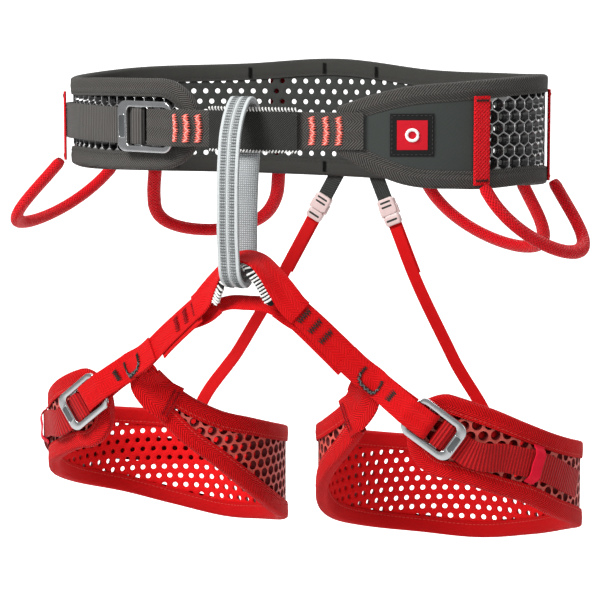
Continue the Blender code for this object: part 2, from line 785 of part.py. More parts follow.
def build_yoke(name, band, parent):
    """The folded piece that joins the leg strap to the narrow end of the leg band."""
    first = band.first
    top, bottom = band.heights(first + 4)
    middle = (top + bottom) / 2
    stations = [
        [*band.point(first - 9.5, middle + 15, LOAD_LAYER - 0.9), *band.outward(first - 9.5)],
        [*band.point(first - 5.5, middle + 9.5, LOAD_LAYER + 0.4), *band.outward(first - 5.5)],
        [*band.point(first - 2, middle + 3, LOAD_LAYER + 0.4), *band.outward(first - 2)],
        [*band.point(first + 5, middle, LOAD_LAYER), *band.outward(first + 5)],
    ]
    rows = smooth_rows(stations, 4.5)
    share = np.linspace(0, 1, len(rows))
    width = YOKE_WIDTH - YOKE_WAIST * np.sin(share * math.pi)
    ribbon(name, rows, width, WEBBING_THICK, RED, parent=parent)


def build_leg(side_name, side):
    radius = LEG_RADII[side_name]
    band = Band(LEG_CENTRES_X[side_name], radius, radius, LEG_EDGES, LEG_TIP_START, -side)
    swing = pivot("leg_%s_pivot" % side_name, (BRIDGE_X + side * LEG_ROOT_REACH, -117.0, -113.0))
    name = "leg_%s_" % side_name
    band_layer(name + "lining", band, LINING, 1.0, 6.0, RED, swing)
    band_layer(name + "net", band, NET, 0.0, 6.0, SALMON, swing)
    binding(name + "top_binding", band, 6.0, 1, RED, swing)
    binding(name + "bottom_binding", band, 6.0, -1, RED, swing)
    base = leg_base(band, side)
    middle = distance_at(base, band.point(*LEG_BUCKLE_PLACE, 0.0))
    base = straight_near(base, middle, STRAIGHT_REACH)
    length = float(np.linalg.norm(np.diff(base[:, :3], axis=0), axis=1).sum())
    tail_end = distance_at(base, band.point(*LEG_TAIL_ROUTE[-1], 0.0)) + LEG_TAIL_END
    ribbon(
        name + "adjust_webbing",
        lay(base, LEG_BUCKLE.adjusting_profile(middle, LEG_ROOT, tail_end)),
        LEG_WEBBING,
        WEBBING_THICK,
        DARK_RED,
        parent=swing,
    )
    strap = lay(base, LEG_BUCKLE.anchor_profile(middle, middle + LEG_FOLD_END, length))
    ribbon(name + "strap", strap, LEG_WEBBING, WEBBING_THICK, RED, parent=swing)
    low = UNDER_LAYER - WEBBING_THICK - GAP
    under = lay(base, run((length - LOWER_STRAP_LENGTH, low), (length, low)))
    under[:, :3] -= frames(under)[3] * (side * LOWER_STRAP_SHIFT)
    ribbon(name + "lower_strap", under, LEG_WEBBING - 5.0, WEBBING_THICK, RED, parent=swing)
    build_yoke(name + "yoke", band, swing)
    keeper_at = distance_at(base, band.point(*KEEPER_PLACE, 0.0))
    build_keeper(name + "keeper", base, keeper_at, swing)
    LEG_BUCKLE.build(name + "buckle", base, middle, SILVER, swing)


# Rear risers: where the tab leaves the belt, the knee where the pull tab ends, and the foot on the leg.
RISERS = (
    ("left", (14.0, 102.0, -48.5), (42.0, 103.5, -117.0), (108.0, 96.4, -238.0)),
    ("right", (-22.0, 102.0, -48.2), (-61.0, 102.5, -117.0), (-130.5, 89.2, -238.0)),
)
CLIP_WIDTH = 13.5
CLIP_THICK = 5.6
SOCKET_LENGTH = 13.0
TAB_LENGTH = 13.0
PLUG_BASE = 8.0
PRONG_LENGTH = 9.5
RISER_STRAP = (9.6, 1.1)


def box_ring(centre, axes, width, thick):
    _, across, normal = axes
    corners = ((-1, -1), (1, -1), (1, 1), (-1, 1))
    return [centre + across * (a * width / 2) + normal * (b * thick / 2) for a, b in corners]


def build_riser(name, start, knee, foot):
    """Elastic tab and clip socket on the belt, plug with its pull tab, and the strap down to the leg."""
    start, knee, foot = (np.array(point) for point in (start, knee, foot))
    down = unit(knee - start)
    across = unit(np.cross((0.0, 1.0, 0.0), down))
    normal = np.cross(down, across)
    axes = (down, across, normal)
    leg_outward = unit(np.array((foot[0] - LEG_CENTRES_X[name], foot[1], 0.0)))

    def at(distance):
        return start + down * distance

    tab = np.array([[*at(d), *normal] for d in (0.0, TAB_LENGTH / 2, TAB_LENGTH)])
    ribbon("riser_%s_elastic_tab" % name, tab, 11.5, 2.0, CHARCOAL)
    top = TAB_LENGTH + GAP
    mouth = top + SOCKET_LENGTH
    inner = (CLIP_WIDTH - 2.6, CLIP_THICK - 2.4)
    socket = [
        box_ring(at(top + 2.2), axes, *inner),
        box_ring(at(mouth), axes, *inner),
        box_ring(at(mouth), axes, CLIP_WIDTH, CLIP_THICK),
        box_ring(at(top), axes, CLIP_WIDTH, CLIP_THICK),
    ]
    loft("riser_%s_socket" % name, socket, CLIP_PINK)
    slide = pivot("riser_%s_plug_pivot" % name, at(mouth))
    prong = (inner[0] - 0.8, inner[1] - 0.8)
    plug = [
        box_ring(at(mouth - PRONG_LENGTH), axes, *prong),
        box_ring(at(mouth + GAP), axes, *prong),
        box_ring(at(mouth + GAP), axes, CLIP_WIDTH, CLIP_THICK),
        box_ring(at(mouth + PLUG_BASE), axes, CLIP_WIDTH - 1.5, CLIP_THICK - 0.8),
    ]
    loft("riser_%s_plug" % name, plug, CLIP_PINK, parent=slide)
    tab_top = at(mouth + PLUG_BASE + GAP)
    pull = np.array([[*(tab_top + (knee - tab_top) * t), *normal] for t in (0.0, 0.5, 1.0)])
    pull[:, :3] += normal * 1.1
    ribbon("riser_%s_pull_tab" % name, pull, 11.0, 1.2, RED, parent=slide)
    begin = at(mouth + PLUG_BASE + 20.0)
    stations = [
        [*(begin - normal * 0.6), *normal],
        [*(knee - normal * 0.6), *normal],
        [*((knee + foot) / 2 - normal * 0.6), *normal],
        [*foot, *leg_outward],
        [foot[0], foot[1], foot[2] - 9.0, *leg_outward],
    ]
    ribbon("riser_%s_strap" % name, smooth_rows(stations, 12.0), *RISER_STRAP, RED)


def main():
    clear_scene()
    build_waist()
    build_side_panel()
    build_label()
    build_belay_loop()
    build_bridge()
    for loop in GEAR_LOOPS:
        build_gear_loop(*loop)
    for name, start, knee, foot in RISERS:
        build_riser(name, start, knee, foot)
    for side_name, side in (("left", 1), ("right", -1)):
        build_leg(side_name, side)


main()
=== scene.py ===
"""The look of the climbing harness: each strap, padded band, buckle, clip and seam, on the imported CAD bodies.

Shapes are worked out in millimetres and written in metres. Angles round a band are in degrees. Each band's
lining, net and tapes are laid out by distance along it and height.
"""

import math

import bpy
import numpy as np
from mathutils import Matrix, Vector


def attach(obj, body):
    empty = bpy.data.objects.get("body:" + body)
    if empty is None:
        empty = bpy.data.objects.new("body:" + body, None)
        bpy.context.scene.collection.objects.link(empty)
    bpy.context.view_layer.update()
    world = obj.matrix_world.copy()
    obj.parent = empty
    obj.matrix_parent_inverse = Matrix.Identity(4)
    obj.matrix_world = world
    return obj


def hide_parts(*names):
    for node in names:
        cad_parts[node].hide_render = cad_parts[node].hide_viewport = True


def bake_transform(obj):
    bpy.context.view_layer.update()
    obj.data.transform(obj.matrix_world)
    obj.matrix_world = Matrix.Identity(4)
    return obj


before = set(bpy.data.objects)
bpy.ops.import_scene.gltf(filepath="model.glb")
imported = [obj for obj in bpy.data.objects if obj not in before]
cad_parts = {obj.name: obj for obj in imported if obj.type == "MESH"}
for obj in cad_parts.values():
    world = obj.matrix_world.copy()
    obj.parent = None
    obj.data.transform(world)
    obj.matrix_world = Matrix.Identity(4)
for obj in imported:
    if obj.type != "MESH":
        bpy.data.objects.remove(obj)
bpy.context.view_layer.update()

MM = 0.001

# The same driving dimensions as the part, in millimetres.
WAIST_CENTRE_X = -3.5
WAIST_HALF_WIDTH = 170.5
WAIST_HALF_DEPTH = 98.5
LEG_RADII = {"left": 87.0, "right": 81.5}
LEG_CENTRES_X = {"left": 107.5, "right": -111.5}
WAIST_WEBBING = 25.0
LEG_WEBBING = 19.0
BELAY_WEBBING = 15.5
WEBBING_THICK = 1.3
GAP = 0.3
NET_OUT = 5.0
BINDING_OUTER = 6.65
LOAD_LAYER = BINDING_OUTER + 0.4 + WEBBING_THICK / 2
TAIL_LAYER = LOAD_LAYER + WEBBING_THICK + GAP
SLIDER_THICK = 2.0
FRAME_THICK = 2.7
SLIDER_HEIGHT = LOAD_LAYER + WEBBING_THICK / 2 + 0.4 + SLIDER_THICK / 2
FOLD_LAYER = SLIDER_HEIGHT + SLIDER_THICK / 2 + GAP + WEBBING_THICK / 2
FRAME_HEIGHT = SLIDER_HEIGHT + SLIDER_THICK / 2 + GAP + FRAME_THICK / 2
OVER_LAYER = FRAME_HEIGHT + FRAME_THICK / 2 + 1.1 + WEBBING_THICK / 2
UNDER_LAYER = LOAD_LAYER + 0.1
TOP_LAYER = UNDER_LAYER + WEBBING_THICK + GAP

# Edge tables: angle, top and bottom height.
WAIST_EDGES = (
    (-68, 16, -12),
    (-61, 23, -23),
    (-54, 28, -31),
    (-36, 32.5, -36),
    (-10, 35.5, -35),
    (41, 33.5, -43),
    (69, 34, -45),
    (95, 41, -43.5),
    (119, 37, -42),
    (148, 35, -40),
    (180, 31, -35),
    (200, 30, -29),
    (232, 32, -28),
    (258.4, 33, -25),
)
LEG_EDGES = (
    (-69, -171, -201.5),
    (-60, -183.5, -216),
    (-40, -201, -240),
    (-20, -210, -263),
    (0, -218, -281),
    (25, -226, -294),
    (55, -233, -303),
    (85, -234, -307),
    (115, -229, -299),
    (140, -225, -288),
    (175, -216, -273),
    (200, -205, -259),
    (216, -195, -247),
    (232, -184, -238),
    (248, -175, -229),
    (268, -168, -222),
)


def unit(rows):
    return rows / np.linalg.norm(rows, axis=-1, keepdims=True)


def between(u, span, start, start_slope, end, end_slope):
    """A smooth curve between two values with given slopes, a share `u` of the way over the span."""
    return (
        (2 * u**3 - 3 * u**2 + 1) * start
        + (u**3 - 2 * u**2 + u) * span * start_slope
        + (3 * u**2 - 2 * u**3) * end
        + (u**3 - u**2) * span * end_slope
    )


def smooth_rows(stations, step, closed=False):
    """Rows every `step` mm on a smooth curve through the stations, whose first three columns are x, y, z."""
    rows = np.array(stations, float)
    if closed:
        rows = np.vstack([rows[-2:], rows, rows[:3]])
    times = np.concatenate([[0.0], np.cumsum(np.linalg.norm(np.diff(rows[:, :3], axis=0), axis=1))])
    slopes = np.gradient(rows, times, axis=0)
    first, last = (times[2], times[-3]) if closed else (times[0], times[-1])
    count = max(2, round((last - first) / step) + 1)
    wanted = np.linspace(first, last, count)[: -1 if closed else None]
    k = np.clip(np.searchsorted(times, wanted, side="right") - 1, 0, len(times) - 2)
    span = (times[k + 1] - times[k])[:, None]
    u = (wanted[:, None] - times[k][:, None]) / span
    return between(u, span, rows[k], slopes[k], rows[k + 1], slopes[k + 1])


def frames(rows, closed=False):
    """Position, direction, face normal and sideways direction of each row (x, y, z, normal x, y, z)."""
    points = rows[:, :3]
    if closed:
        along = unit(np.roll(points, -1, axis=0) - np.roll(points, 1, axis=0))
    else:
        along = unit(np.gradient(points, axis=0))
    normal = unit(rows[:, 3:6] - along * (rows[:, 3:6] * along).sum(axis=1, keepdims=True))
    return points, along, normal, np.cross(along, normal)


def run_lengths(points, closed=False):
    """Distance to each point along its run; a closed run gets one more, back at the start."""
    steps = np.linalg.norm(np.diff(points, axis=0), axis=1)
    lengths = np.concatenate([[0.0], np.cumsum(steps)])
    if closed:
        lengths = np.append(lengths, lengths[-1] + np.linalg.norm(points[0] - points[-1]))
    return lengths


def row_at(at, lengths, rows):
    """The row of values at a distance, between the rows that stand at the given distances."""
    return np.array([np.interp(at, lengths, rows[:, k]) for k in range(rows.shape[1])])


class Line:
    """A line of strap rows to place things on: by distance along it, distance across it and height off it."""

    def __init__(self, rows, closed=False):
        self.rows = rows
        self.points, self.along, self.normal, self.across = frames(rows, closed)
        self.lengths = run_lengths(self.points)
        self.length = float(self.lengths[-1])

    def axes(self, s):
        return [unit(row_at(s, self.lengths, values)) for values in (self.along, self.normal, self.across)]

    def at(self, s, across=0.0, height=0.0):
        inside = min(max(s, 0.0), self.length)
        along, normal, sideways = self.axes(inside)
        start = row_at(inside, self.lengths, self.points)
        return start + along * (s - inside) + sideways * across + normal * height

    def nearest(self, point):
        return float(self.lengths[np.argmin(np.linalg.norm(self.points - point, axis=1))])

    def lay(self, profile):
        """Strap rows through (distance, height) pairs, so a strap can fold back on itself."""
        pairs = np.array(profile, float)
        turn = unit(np.gradient(pairs, axis=0))
        rows = []
        for (s, height), (forward, rise) in zip(pairs, turn):
            along, normal, _ = self.axes(min(max(s, 0.0), self.length))
            rows.append([*self.at(s, 0.0, height), *(normal * forward - along * rise)])
        return np.array(rows)

    def straightened(self, s, reach):
        """The same line with a straight stretch `reach` mm each way round `s`."""
        rows = self.rows.copy()
        middle = row_at(s, self.lengths, rows)
        ahead = unit(self.at(s + 1) - self.at(s))
        for i, length in enumerate(self.lengths):
            share = min(1.0, max(0.0, (2 * reach - abs(length - s)) / reach))
            share = share * share * (3 - 2 * share)
            rows[i, :3] += (middle[:3] + ahead * (length - s) - rows[i, :3]) * share
            rows[i, 3:] += (middle[3:] - rows[i, 3:]) * share
        return Line(rows)


def run(start, end, step=5.0):
    """Evenly spaced pairs on a straight line between two pairs, the end left out."""
    count = max(1, round(math.dist(start, end) / step))
    return [tuple(np.array(start) + (np.array(end) - np.array(start)) * i / count) for i in range(count)]


def half_turn(centre, radius, first, last, steps=6):
    """Pairs on an arc between two angles in degrees, the last left out."""
    angles = np.linspace(math.radians(first), math.radians(last), steps + 1)[:-1]
    return [(centre[0] + radius * math.cos(angle), centre[1] + radius * math.sin(angle)) for angle in angles]


def edge_heights(edges, angle):
    """Top and bottom of a band at an angle, on smooth curves through its edge table."""
    table = np.array(edges, float)
    slopes = np.gradient(table[:, 1:], table[:, 0], axis=0)
    k = int(np.clip(np.searchsorted(table[:, 0], angle, side="right") - 1, 0, len(table) - 2))
    span = table[k + 1, 0] - table[k, 0]
    u = (angle - table[k, 0]) / span
    return between(u, span, table[k, 1:], slopes[k], table[k + 1, 1:], slopes[k + 1])


class Band:
    """A padded belt or leg band that stands on an ellipse, with a table of edge heights and a round tip."""

    def __init__(self, centre_x, half_width, half_depth, edges, tip_start, mirror):
        self.centre_x = centre_x
        self.half_width = half_width
        self.half_depth = half_depth
        self.edges = edges
        self.tip_start = tip_start
        self.mirror = mirror
        self.first = edges[0][0]
        self.last = edges[-1][0]
        self.angles = np.linspace(self.first, self.last, 1200)
        turns = np.radians(self.angles)
        speed = np.radians(np.hypot(half_width * np.sin(turns), half_depth * np.cos(turns)))
        self.lengths = np.concatenate([[0.0], np.cumsum((speed[1:] + speed[:-1]) / 2 * np.diff(self.angles))])
        self.length = float(self.lengths[-1])
        heights = np.array([self.heights(angle) for angle in self.angles])
        self.tops = heights[:, 0]
        self.bottoms = heights[:, 1]

    def outward(self, angle):
        turn = math.radians(angle)
        raw = np.array([math.cos(turn) / self.half_width, math.sin(turn) / self.half_depth, 0.0])
        return unit(raw) * (self.mirror, 1, 1)

    def point(self, angle, height, off):
        turn = math.radians(angle)
        x = self.centre_x + self.mirror * self.half_width * math.cos(turn)
        return np.array([x, self.half_depth * math.sin(turn), height]) + self.outward(angle) * off

    def heights(self, angle):
        """Top and bottom at an angle, drawn together to the round tip at the free end."""
        top, bottom = edge_heights(self.edges, min(angle, self.tip_start))
        if angle <= self.tip_start:
            return top, bottom
        along = (angle - self.tip_start) / (self.last - self.tip_start)
        share = math.sqrt(max(0.0, 1 - along**2))
        middle = (top + bottom) / 2
        return middle + (top - middle) * share, middle + (bottom - middle) * share

    def angle_at(self, s):
        return np.interp(s, self.lengths, self.angles)

    def length_at(self, angle):
        return float(np.interp(angle, self.angles, self.lengths))

    def top(self, s):
        return np.interp(s, self.lengths, self.tops)

    def bottom(self, s):
        return np.interp(s, self.lengths, self.bottoms)

    def place(self, s, height, off):
        """Points for whole arrays of distance along, height and distance off the inner face."""
        turn = np.radians(self.angle_at(s))
        away = np.stack([np.cos(turn) / self.half_width, np.sin(turn) / self.half_depth], axis=-1)
        away = unit(away) * (self.mirror, 1)
        x = self.centre_x + self.mirror * self.half_width * np.cos(turn) + away[..., 0] * off
        y = self.half_depth * np.sin(turn) + away[..., 1] * off
        return np.stack([x, y, height], axis=-1)

    def edge(self, side, step):
        """Distance, height, inward direction and run each `step` mm of the top (1) or bottom (-1) edge."""
        heights = self.tops if side > 0 else self.bottoms
        run_along = np.concatenate([[0.0], np.cumsum(np.hypot(np.diff(self.lengths), np.diff(heights)))])
        wanted = np.linspace(0.0, run_along[-1], max(2, round(run_along[-1] / step) + 1))
        s = np.interp(wanted, run_along, self.lengths)
        height = np.interp(wanted, run_along, heights)
        ahead = unit(np.stack([np.gradient(s), np.gradient(height)], axis=1))
        ahead[-1] = (0.0, -side)
        return s, height, np.stack([side * ahead[:, 1], -side * ahead[:, 0]], axis=1), wanted


# Materials.


def nodes_of(name, colour, roughness, metallic=0.0, sheen=0.0, coat=0.0):
    """A new material, its node tree and its shader, with the plain values set on the shader."""
    made = bpy.data.materials.new(name)
    made.use_nodes = True
    tree = made.node_tree
    shader = tree.nodes["Principled BSDF"]
    shader.inputs["Base Color"].default_value = (*colour, 1.0)
    shader.inputs["Roughness"].default_value = roughness
    shader.inputs["Metallic"].default_value = metallic
    shader.inputs["Sheen Weight"].default_value = sheen
    shader.inputs["Sheen Roughness"].default_value = 0.4
    shader.inputs["Coat Weight"].default_value = coat
    shader.inputs["Coat Roughness"].default_value = 0.15
    return made, tree, shader


def add(tree, kind, inputs=None, **settings):
    node = tree.nodes.new("ShaderNode" + kind)
    for key, value in settings.items():
        setattr(node, key, value)
    for key, value in (inputs or {}).items():
        if isinstance(value, bpy.types.NodeSocket):
            tree.links.new(value, node.inputs[key])
        else:
            node.inputs[key].default_value = value
    return node


def maths(tree, operation, *values):
    return add(tree, "Math", dict(enumerate(values)), operation=operation).outputs[0]


def wave(tree, value, period):
    """0 to 1 and back over each period of the value."""
    turned = maths(tree, "MULTIPLY", value, 2 * math.pi / period)
    return maths(tree, "MULTIPLY_ADD", maths(tree, "SINE", turned), 0.5, 0.5)


def weave_height(tree, pattern, size):
    """The raised pattern of a cloth from its own flat coordinates, in millimetres."""
    parts = add(tree, "SeparateXYZ", {0: add(tree, "UVMap", uv_map="weave").outputs[0]})
    u, v = parts.outputs[0], parts.outputs[1]
    if pattern == "herringbone":
        zigzag = maths(tree, "PINGPONG", u, size * 3.2)
        return wave(tree, maths(tree, "ADD", v, zigzag), size)
    if pattern == "twill":
        return wave(tree, maths(tree, "ADD", v, u), size)
    if pattern == "rib":
        fine = wave(tree, u, size * 0.55)
        return maths(tree, "MULTIPLY_ADD", fine, 0.08, maths(tree, "MULTIPLY", wave(tree, v, size), 0.92))
    if pattern == "braid":
        one = wave(tree, maths(tree, "ADD", v, u), size)
        two = wave(tree, maths(tree, "SUBTRACT", v, u), size)
        return maths(tree, "MAXIMUM", one, two)
    return maths(tree, "MULTIPLY", wave(tree, u, size), wave(tree, v, size))


# Sizes of the noise patterns: fuzz on cloth, patches of uneven dye, and uneven gloss on rigid pieces.
FUZZ_SCALE = 2600.0
PATCH_SCALE = 38.0
GLOSS_SCALE = 60.0
COLOUR_A, COLOUR_B, COLOUR_OUT = 6, 7, 2  # the colour sockets of a Mix node


def dress(tree, shader, share, dark, light, rough, raised, depth, distance):
    """Links a shader's colour, a share of the way from dark to light, its roughness and its bump."""
    mixed = add(tree, "Mix", data_type="RGBA")
    tree.links.new(share, mixed.inputs["Factor"])
    mixed.inputs[COLOUR_A].default_value = (*dark, 1.0)
    mixed.inputs[COLOUR_B].default_value = (*light, 1.0)
    tree.links.new(mixed.outputs[COLOUR_OUT], shader.inputs["Base Color"])
    tree.links.new(rough, shader.inputs["Roughness"])
    bump = add(tree, "Bump", {"Height": raised, "Strength": depth, "Distance": distance})
    tree.links.new(bump.outputs[0], shader.inputs["Normal"])


def cloth(name, colour, pattern, size, depth, roughness, valley, patchy=0.12):
    """A woven fabric: thread pattern in colour and bump, patches of uneven dye, and a little fuzz."""
    made, tree, shader = nodes_of(name, colour, roughness, sheen=0.02)
    shader.inputs["Specular IOR Level"].default_value = 0.15
    height = weave_height(tree, pattern, size)
    place = add(tree, "TexCoord").outputs["Object"]
    fuzz = add(tree, "TexNoise", {"Vector": place, "Scale": FUZZ_SCALE, "Detail": 2.0}).outputs["Fac"]
    patches = add(tree, "TexNoise", {"Vector": place, "Scale": PATCH_SCALE, "Detail": 3.0}).outputs["Fac"]
    level = maths(tree, "MULTIPLY_ADD", height, 1.0 - valley, valley)
    level = maths(tree, "ADD", level, maths(tree, "MULTIPLY_ADD", patches, 2 * patchy, -patchy))
    level = maths(tree, "ADD", level, maths(tree, "MULTIPLY_ADD", fuzz, 0.16, -0.08))
    dark = tuple(c * 0.25 for c in colour)
    rough = maths(tree, "MULTIPLY_ADD", height, -0.15, roughness + 0.07)
    raised = maths(tree, "ADD", height, maths(tree, "MULTIPLY", fuzz, 0.35))
    dress(tree, shader, level, dark, colour, rough, raised, depth, size * 0.35 * MM)
    return made


def moulded(name, colour, roughness, metallic=0.0, coat=0.0, grain=900.0, depth=0.08, spread=0.08):
    """Plastic, rubber or metal: fine surface grain, uneven gloss and slight colour change."""
    made, tree, shader = nodes_of(name, colour, roughness, metallic, coat=coat)
    place = add(tree, "TexCoord").outputs["Object"]
    fine = add(tree, "TexNoise", {"Vector": place, "Scale": grain, "Detail": 3.0}).outputs["Fac"]
    broad = add(tree, "TexNoise", {"Vector": place, "Scale": GLOSS_SCALE, "Detail": 4.0}).outputs["Fac"]
    uneven = maths(tree, "MULTIPLY_ADD", broad, 2 * spread, roughness - spread)
    dark = [c * 0.86 for c in colour]
    light = [min(1.0, c * 1.1) for c in colour]
    dress(tree, shader, broad, dark, light, uneven, fine, depth, 0.2 * MM)
    return made


def sewing(name, colour, valley=0.7):
    """Twisted sewing thread."""
    return cloth(name, colour, "twill", 0.4, 0.3, 0.6, valley)


LOOKS = {
    "lining": cloth("harness_lining_knit", (0.040, 0.043, 0.040), "plain", 0.9, 0.25, 0.8, 0.7),
    "grey_tape": cloth("harness_grey_herringbone", (0.100, 0.094, 0.087), "herringbone", 2.0, 1.0, 0.8, 0.08),
    "grey_rib": cloth("harness_grey_ribbed", (0.104, 0.098, 0.092), "rib", 2.3, 0.9, 0.7, 0.2),
    "dark_web": cloth("harness_dark_tape", (0.046, 0.046, 0.042), "twill", 1.2, 0.5, 0.85, 0.5),
    "panel": cloth("harness_panel_cloth", (0.046, 0.052, 0.048), "twill", 0.8, 0.2, 0.75, 0.6),
    "guard": cloth("harness_guard_cloth", (0.040, 0.041, 0.038), "twill", 1.6, 0.9, 0.6, 0.1),
    # The waist net is black: its crests are light grey and metallic, a painted highlight for the silver gloss
    # along its cell walls.
    "net_crest": moulded("harness_net_crest", (0.300, 0.305, 0.300), 0.25, metallic=0.5, coat=1.0),
    "net_wall": moulded("harness_net_wall", (0.010, 0.010, 0.010), 0.25, coat=0.6),
    "leg_lining": cloth("harness_red_lining", (0.720, 0.004, 0.006), "plain", 0.9, 0.2, 0.75, 0.8, 0.06),
    "red_tape": cloth("harness_red_tape", (0.740, 0.001, 0.003), "herringbone", 2.0, 0.9, 0.8, 0.25),
    "red_fold": cloth("harness_red_tape_inside", (0.620, 0.002, 0.004), "twill", 1.2, 0.5, 0.8, 0.5),
    "red_web": cloth("harness_red_webbing", (0.730, 0.001, 0.003), "herringbone", 1.5, 0.7, 0.75, 0.35),
    "red_tube": cloth("harness_red_sleeve", (0.760, 0.003, 0.010), "braid", 2.6, 1.0, 0.55, 0.4, 0.05),
    "red_flat": cloth("harness_red_narrow", (0.680, 0.001, 0.003), "twill", 1.0, 0.4, 0.65, 0.55),
    "dark_red": cloth("harness_dark_red_ribbed", (0.500, 0.004, 0.006), "rib", 2.4, 0.9, 0.6, 0.25),
    "bright": cloth("harness_bright_elastic", (0.760, 0.004, 0.030), "rib", 0.8, 0.4, 0.7, 0.6),
    "leg_crest": moulded("harness_leg_net_crest", (0.560, 0.075, 0.055), 0.55),
    "leg_wall": moulded("harness_leg_net_wall", (0.120, 0.004, 0.005), 0.50),
    "belay": cloth("harness_belay_webbing", (0.560, 0.590, 0.600), "plain", 1.5, 0.9, 0.8, 0.2),
    "pale_edge": cloth("harness_pale_edge", (0.620, 0.650, 0.655), "twill", 1.0, 0.6, 0.75, 0.45),
    "silver": moulded("harness_silver", (0.560, 0.570, 0.580), 0.20, metallic=1.0, grain=1800.0, depth=0.05),
    "silver_pad": moulded("harness_silver_pad", (0.160, 0.170, 0.175), 0.40, metallic=1.0),
    "clip": moulded("harness_clip", (0.620, 0.480, 0.465), 0.38, coat=0.3),
    "elastic": cloth("harness_elastic", (0.052, 0.056, 0.053), "twill", 1.8, 0.8, 0.8, 0.2),
    "coral": sewing("harness_coral_thread", (0.900, 0.170, 0.130)),
    "seam_thread": sewing("harness_seam_thread", (0.700, 0.060, 0.050)),
    "fleck": sewing("harness_pale_coral_thread", (0.900, 0.560, 0.520)),
    "black_thread": sewing("harness_black_thread", (0.022, 0.026, 0.022)),
    "ladder_thread": sewing("harness_ladder_thread", (0.150, 0.160, 0.160)),
    "grey_thread": sewing("harness_grey_thread", (0.050, 0.050, 0.046)),
    "red_thread": sewing("harness_red_thread", (0.320, 0.004, 0.008)),
    "white_thread": sewing("harness_white_thread", (0.800, 0.800, 0.780), 0.8),
    "label": cloth("harness_label_red", (0.560, 0.006, 0.018), "plain", 0.5, 0.2, 0.5, 0.8),
    "label_frame": cloth("harness_label_frame", (0.010, 0.010, 0.010), "plain", 0.6, 0.2, 0.6, 0.7),
    "mark": cloth("harness_label_mark", (0.900, 0.900, 0.880), "plain", 0.5, 0.2, 0.6, 0.85),
}


# Mesh makers.


def piece(name, points, faces, looks, body, nodes=(), corners=None, face_looks=None, slot=None):
    """A mesh that rides on a body and stands for CAD nodes; corners are its flat coordinates."""
    mesh = bpy.data.meshes.new(name)
    mesh.from_pydata((np.asarray(points) * MM).tolist(), [], faces)
    if corners is not None:
        layer = mesh.uv_layers.new(name="weave")
        layer.data.foreach_set("uv", np.asarray(corners, np.float32).ravel())
    for look in [looks] if isinstance(looks, str) else looks:
        mesh.materials.append(LOOKS[look])
    if face_looks is not None:
        mesh.polygons.foreach_set("material_index", np.asarray(face_looks, np.int32))
    mesh.shade_smooth()
    mesh.set_sharp_from_angle(angle=math.radians(48))
    obj = bpy.data.objects.new(name, mesh)
    bpy.context.scene.collection.objects.link(obj)
    if body:
        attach(obj, body)
    if nodes:
        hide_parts(*nodes)
    return obj


def lofted(rings, us, vs, closed=False):
    """Points, faces and flat coordinates of a skin over rings, capped unless its path is closed."""
    count, size = len(rings), len(rings[0])
    faces = []
    corners = []
    for i in range(count if closed else count - 1):
        k = (i + 1) % count
        for j in range(size):
            m = (j + 1) % size
            faces.append((i * size + j, i * size + m, k * size + m, k * size + j))
            corners += [(us[j], vs[i]), (us[j + 1], vs[i]), (us[j + 1], vs[i + 1]), (us[j], vs[i + 1])]
    if not closed:
        faces.append(tuple(range(size))[::-1])
        corners += [(us[j], vs[0]) for j in range(size)][::-1]
        faces.append(tuple((count - 1) * size + j for j in range(size)))
        corners += [(us[j], vs[-1]) for j in range(size)]
    return np.array(rings).reshape(-1, 3), faces, corners


def strap_section(width, thick):
    """(across, up) points round a flat strap with round edges, and their flat coordinate."""
    radius = thick / 2
    flat = width / 2 - radius
    top = [(x, radius) for x in np.linspace(-flat, flat, 7)]
    right = [(flat + radius * math.cos(a), radius * math.sin(a)) for a in np.radians((50, 0, -50))]
    bottom = [(x, -radius) for x in np.linspace(flat, -flat, 7)]
    left = [(-flat + radius * math.cos(a), radius * math.sin(a)) for a in np.radians((230, 180, 130))]
    return top + right + bottom + left


def strap(name, rows, width, thick, look, body, nodes=(), step=2.0, closed=False, slot=None):
    """Webbing with round edges along strap rows; `width` is a number or a function of the share along."""
    rows = smooth_rows(rows, step, closed)
    points, _, normal, across = frames(rows, closed)
    vs = run_lengths(points, closed)
    rings = []
    for i in range(len(rows)):
        wide = width(vs[i] / vs[-1]) if callable(width) else width
        section = strap_section(wide, thick)
        rings.append([points[i] + across[i] * a + normal[i] * b for a, b in section])
    us = [a for a, _ in section]
    made = lofted(rings, us + us[:1], vs, closed)
    obj = piece(name, *made[:2], look, body, nodes, made[2], slot=slot)
    return obj, Line(rows, closed)


def tube(name, rows, wide, thick, look, body, nodes=(), step=2.0, sides=16, slot=None):
    """A round or oval tube along rows, with domed ends."""
    rows = smooth_rows(rows, step)
    points, _, normal, across = frames(rows)
    vs = run_lengths(points)
    turns = np.linspace(0, 2 * math.pi, sides + 1)
    rings = []
    for i in range(len(rows)):
        from_end = min(vs[i], vs[-1] - vs[i])
        size = 0.75 + 0.25 * min(1.0, from_end / 3.0)
        spokes = [across[i] * math.cos(t) * wide + normal[i] * math.sin(t) * thick for t in turns[:-1]]
        rings.append([points[i] + spoke * size / 2 for spoke in spokes])
    made = lofted(rings, list(turns * (wide + thick) / 4), vs)
    return piece(name, *made[:2], look, body, nodes, made[2], slot=slot)


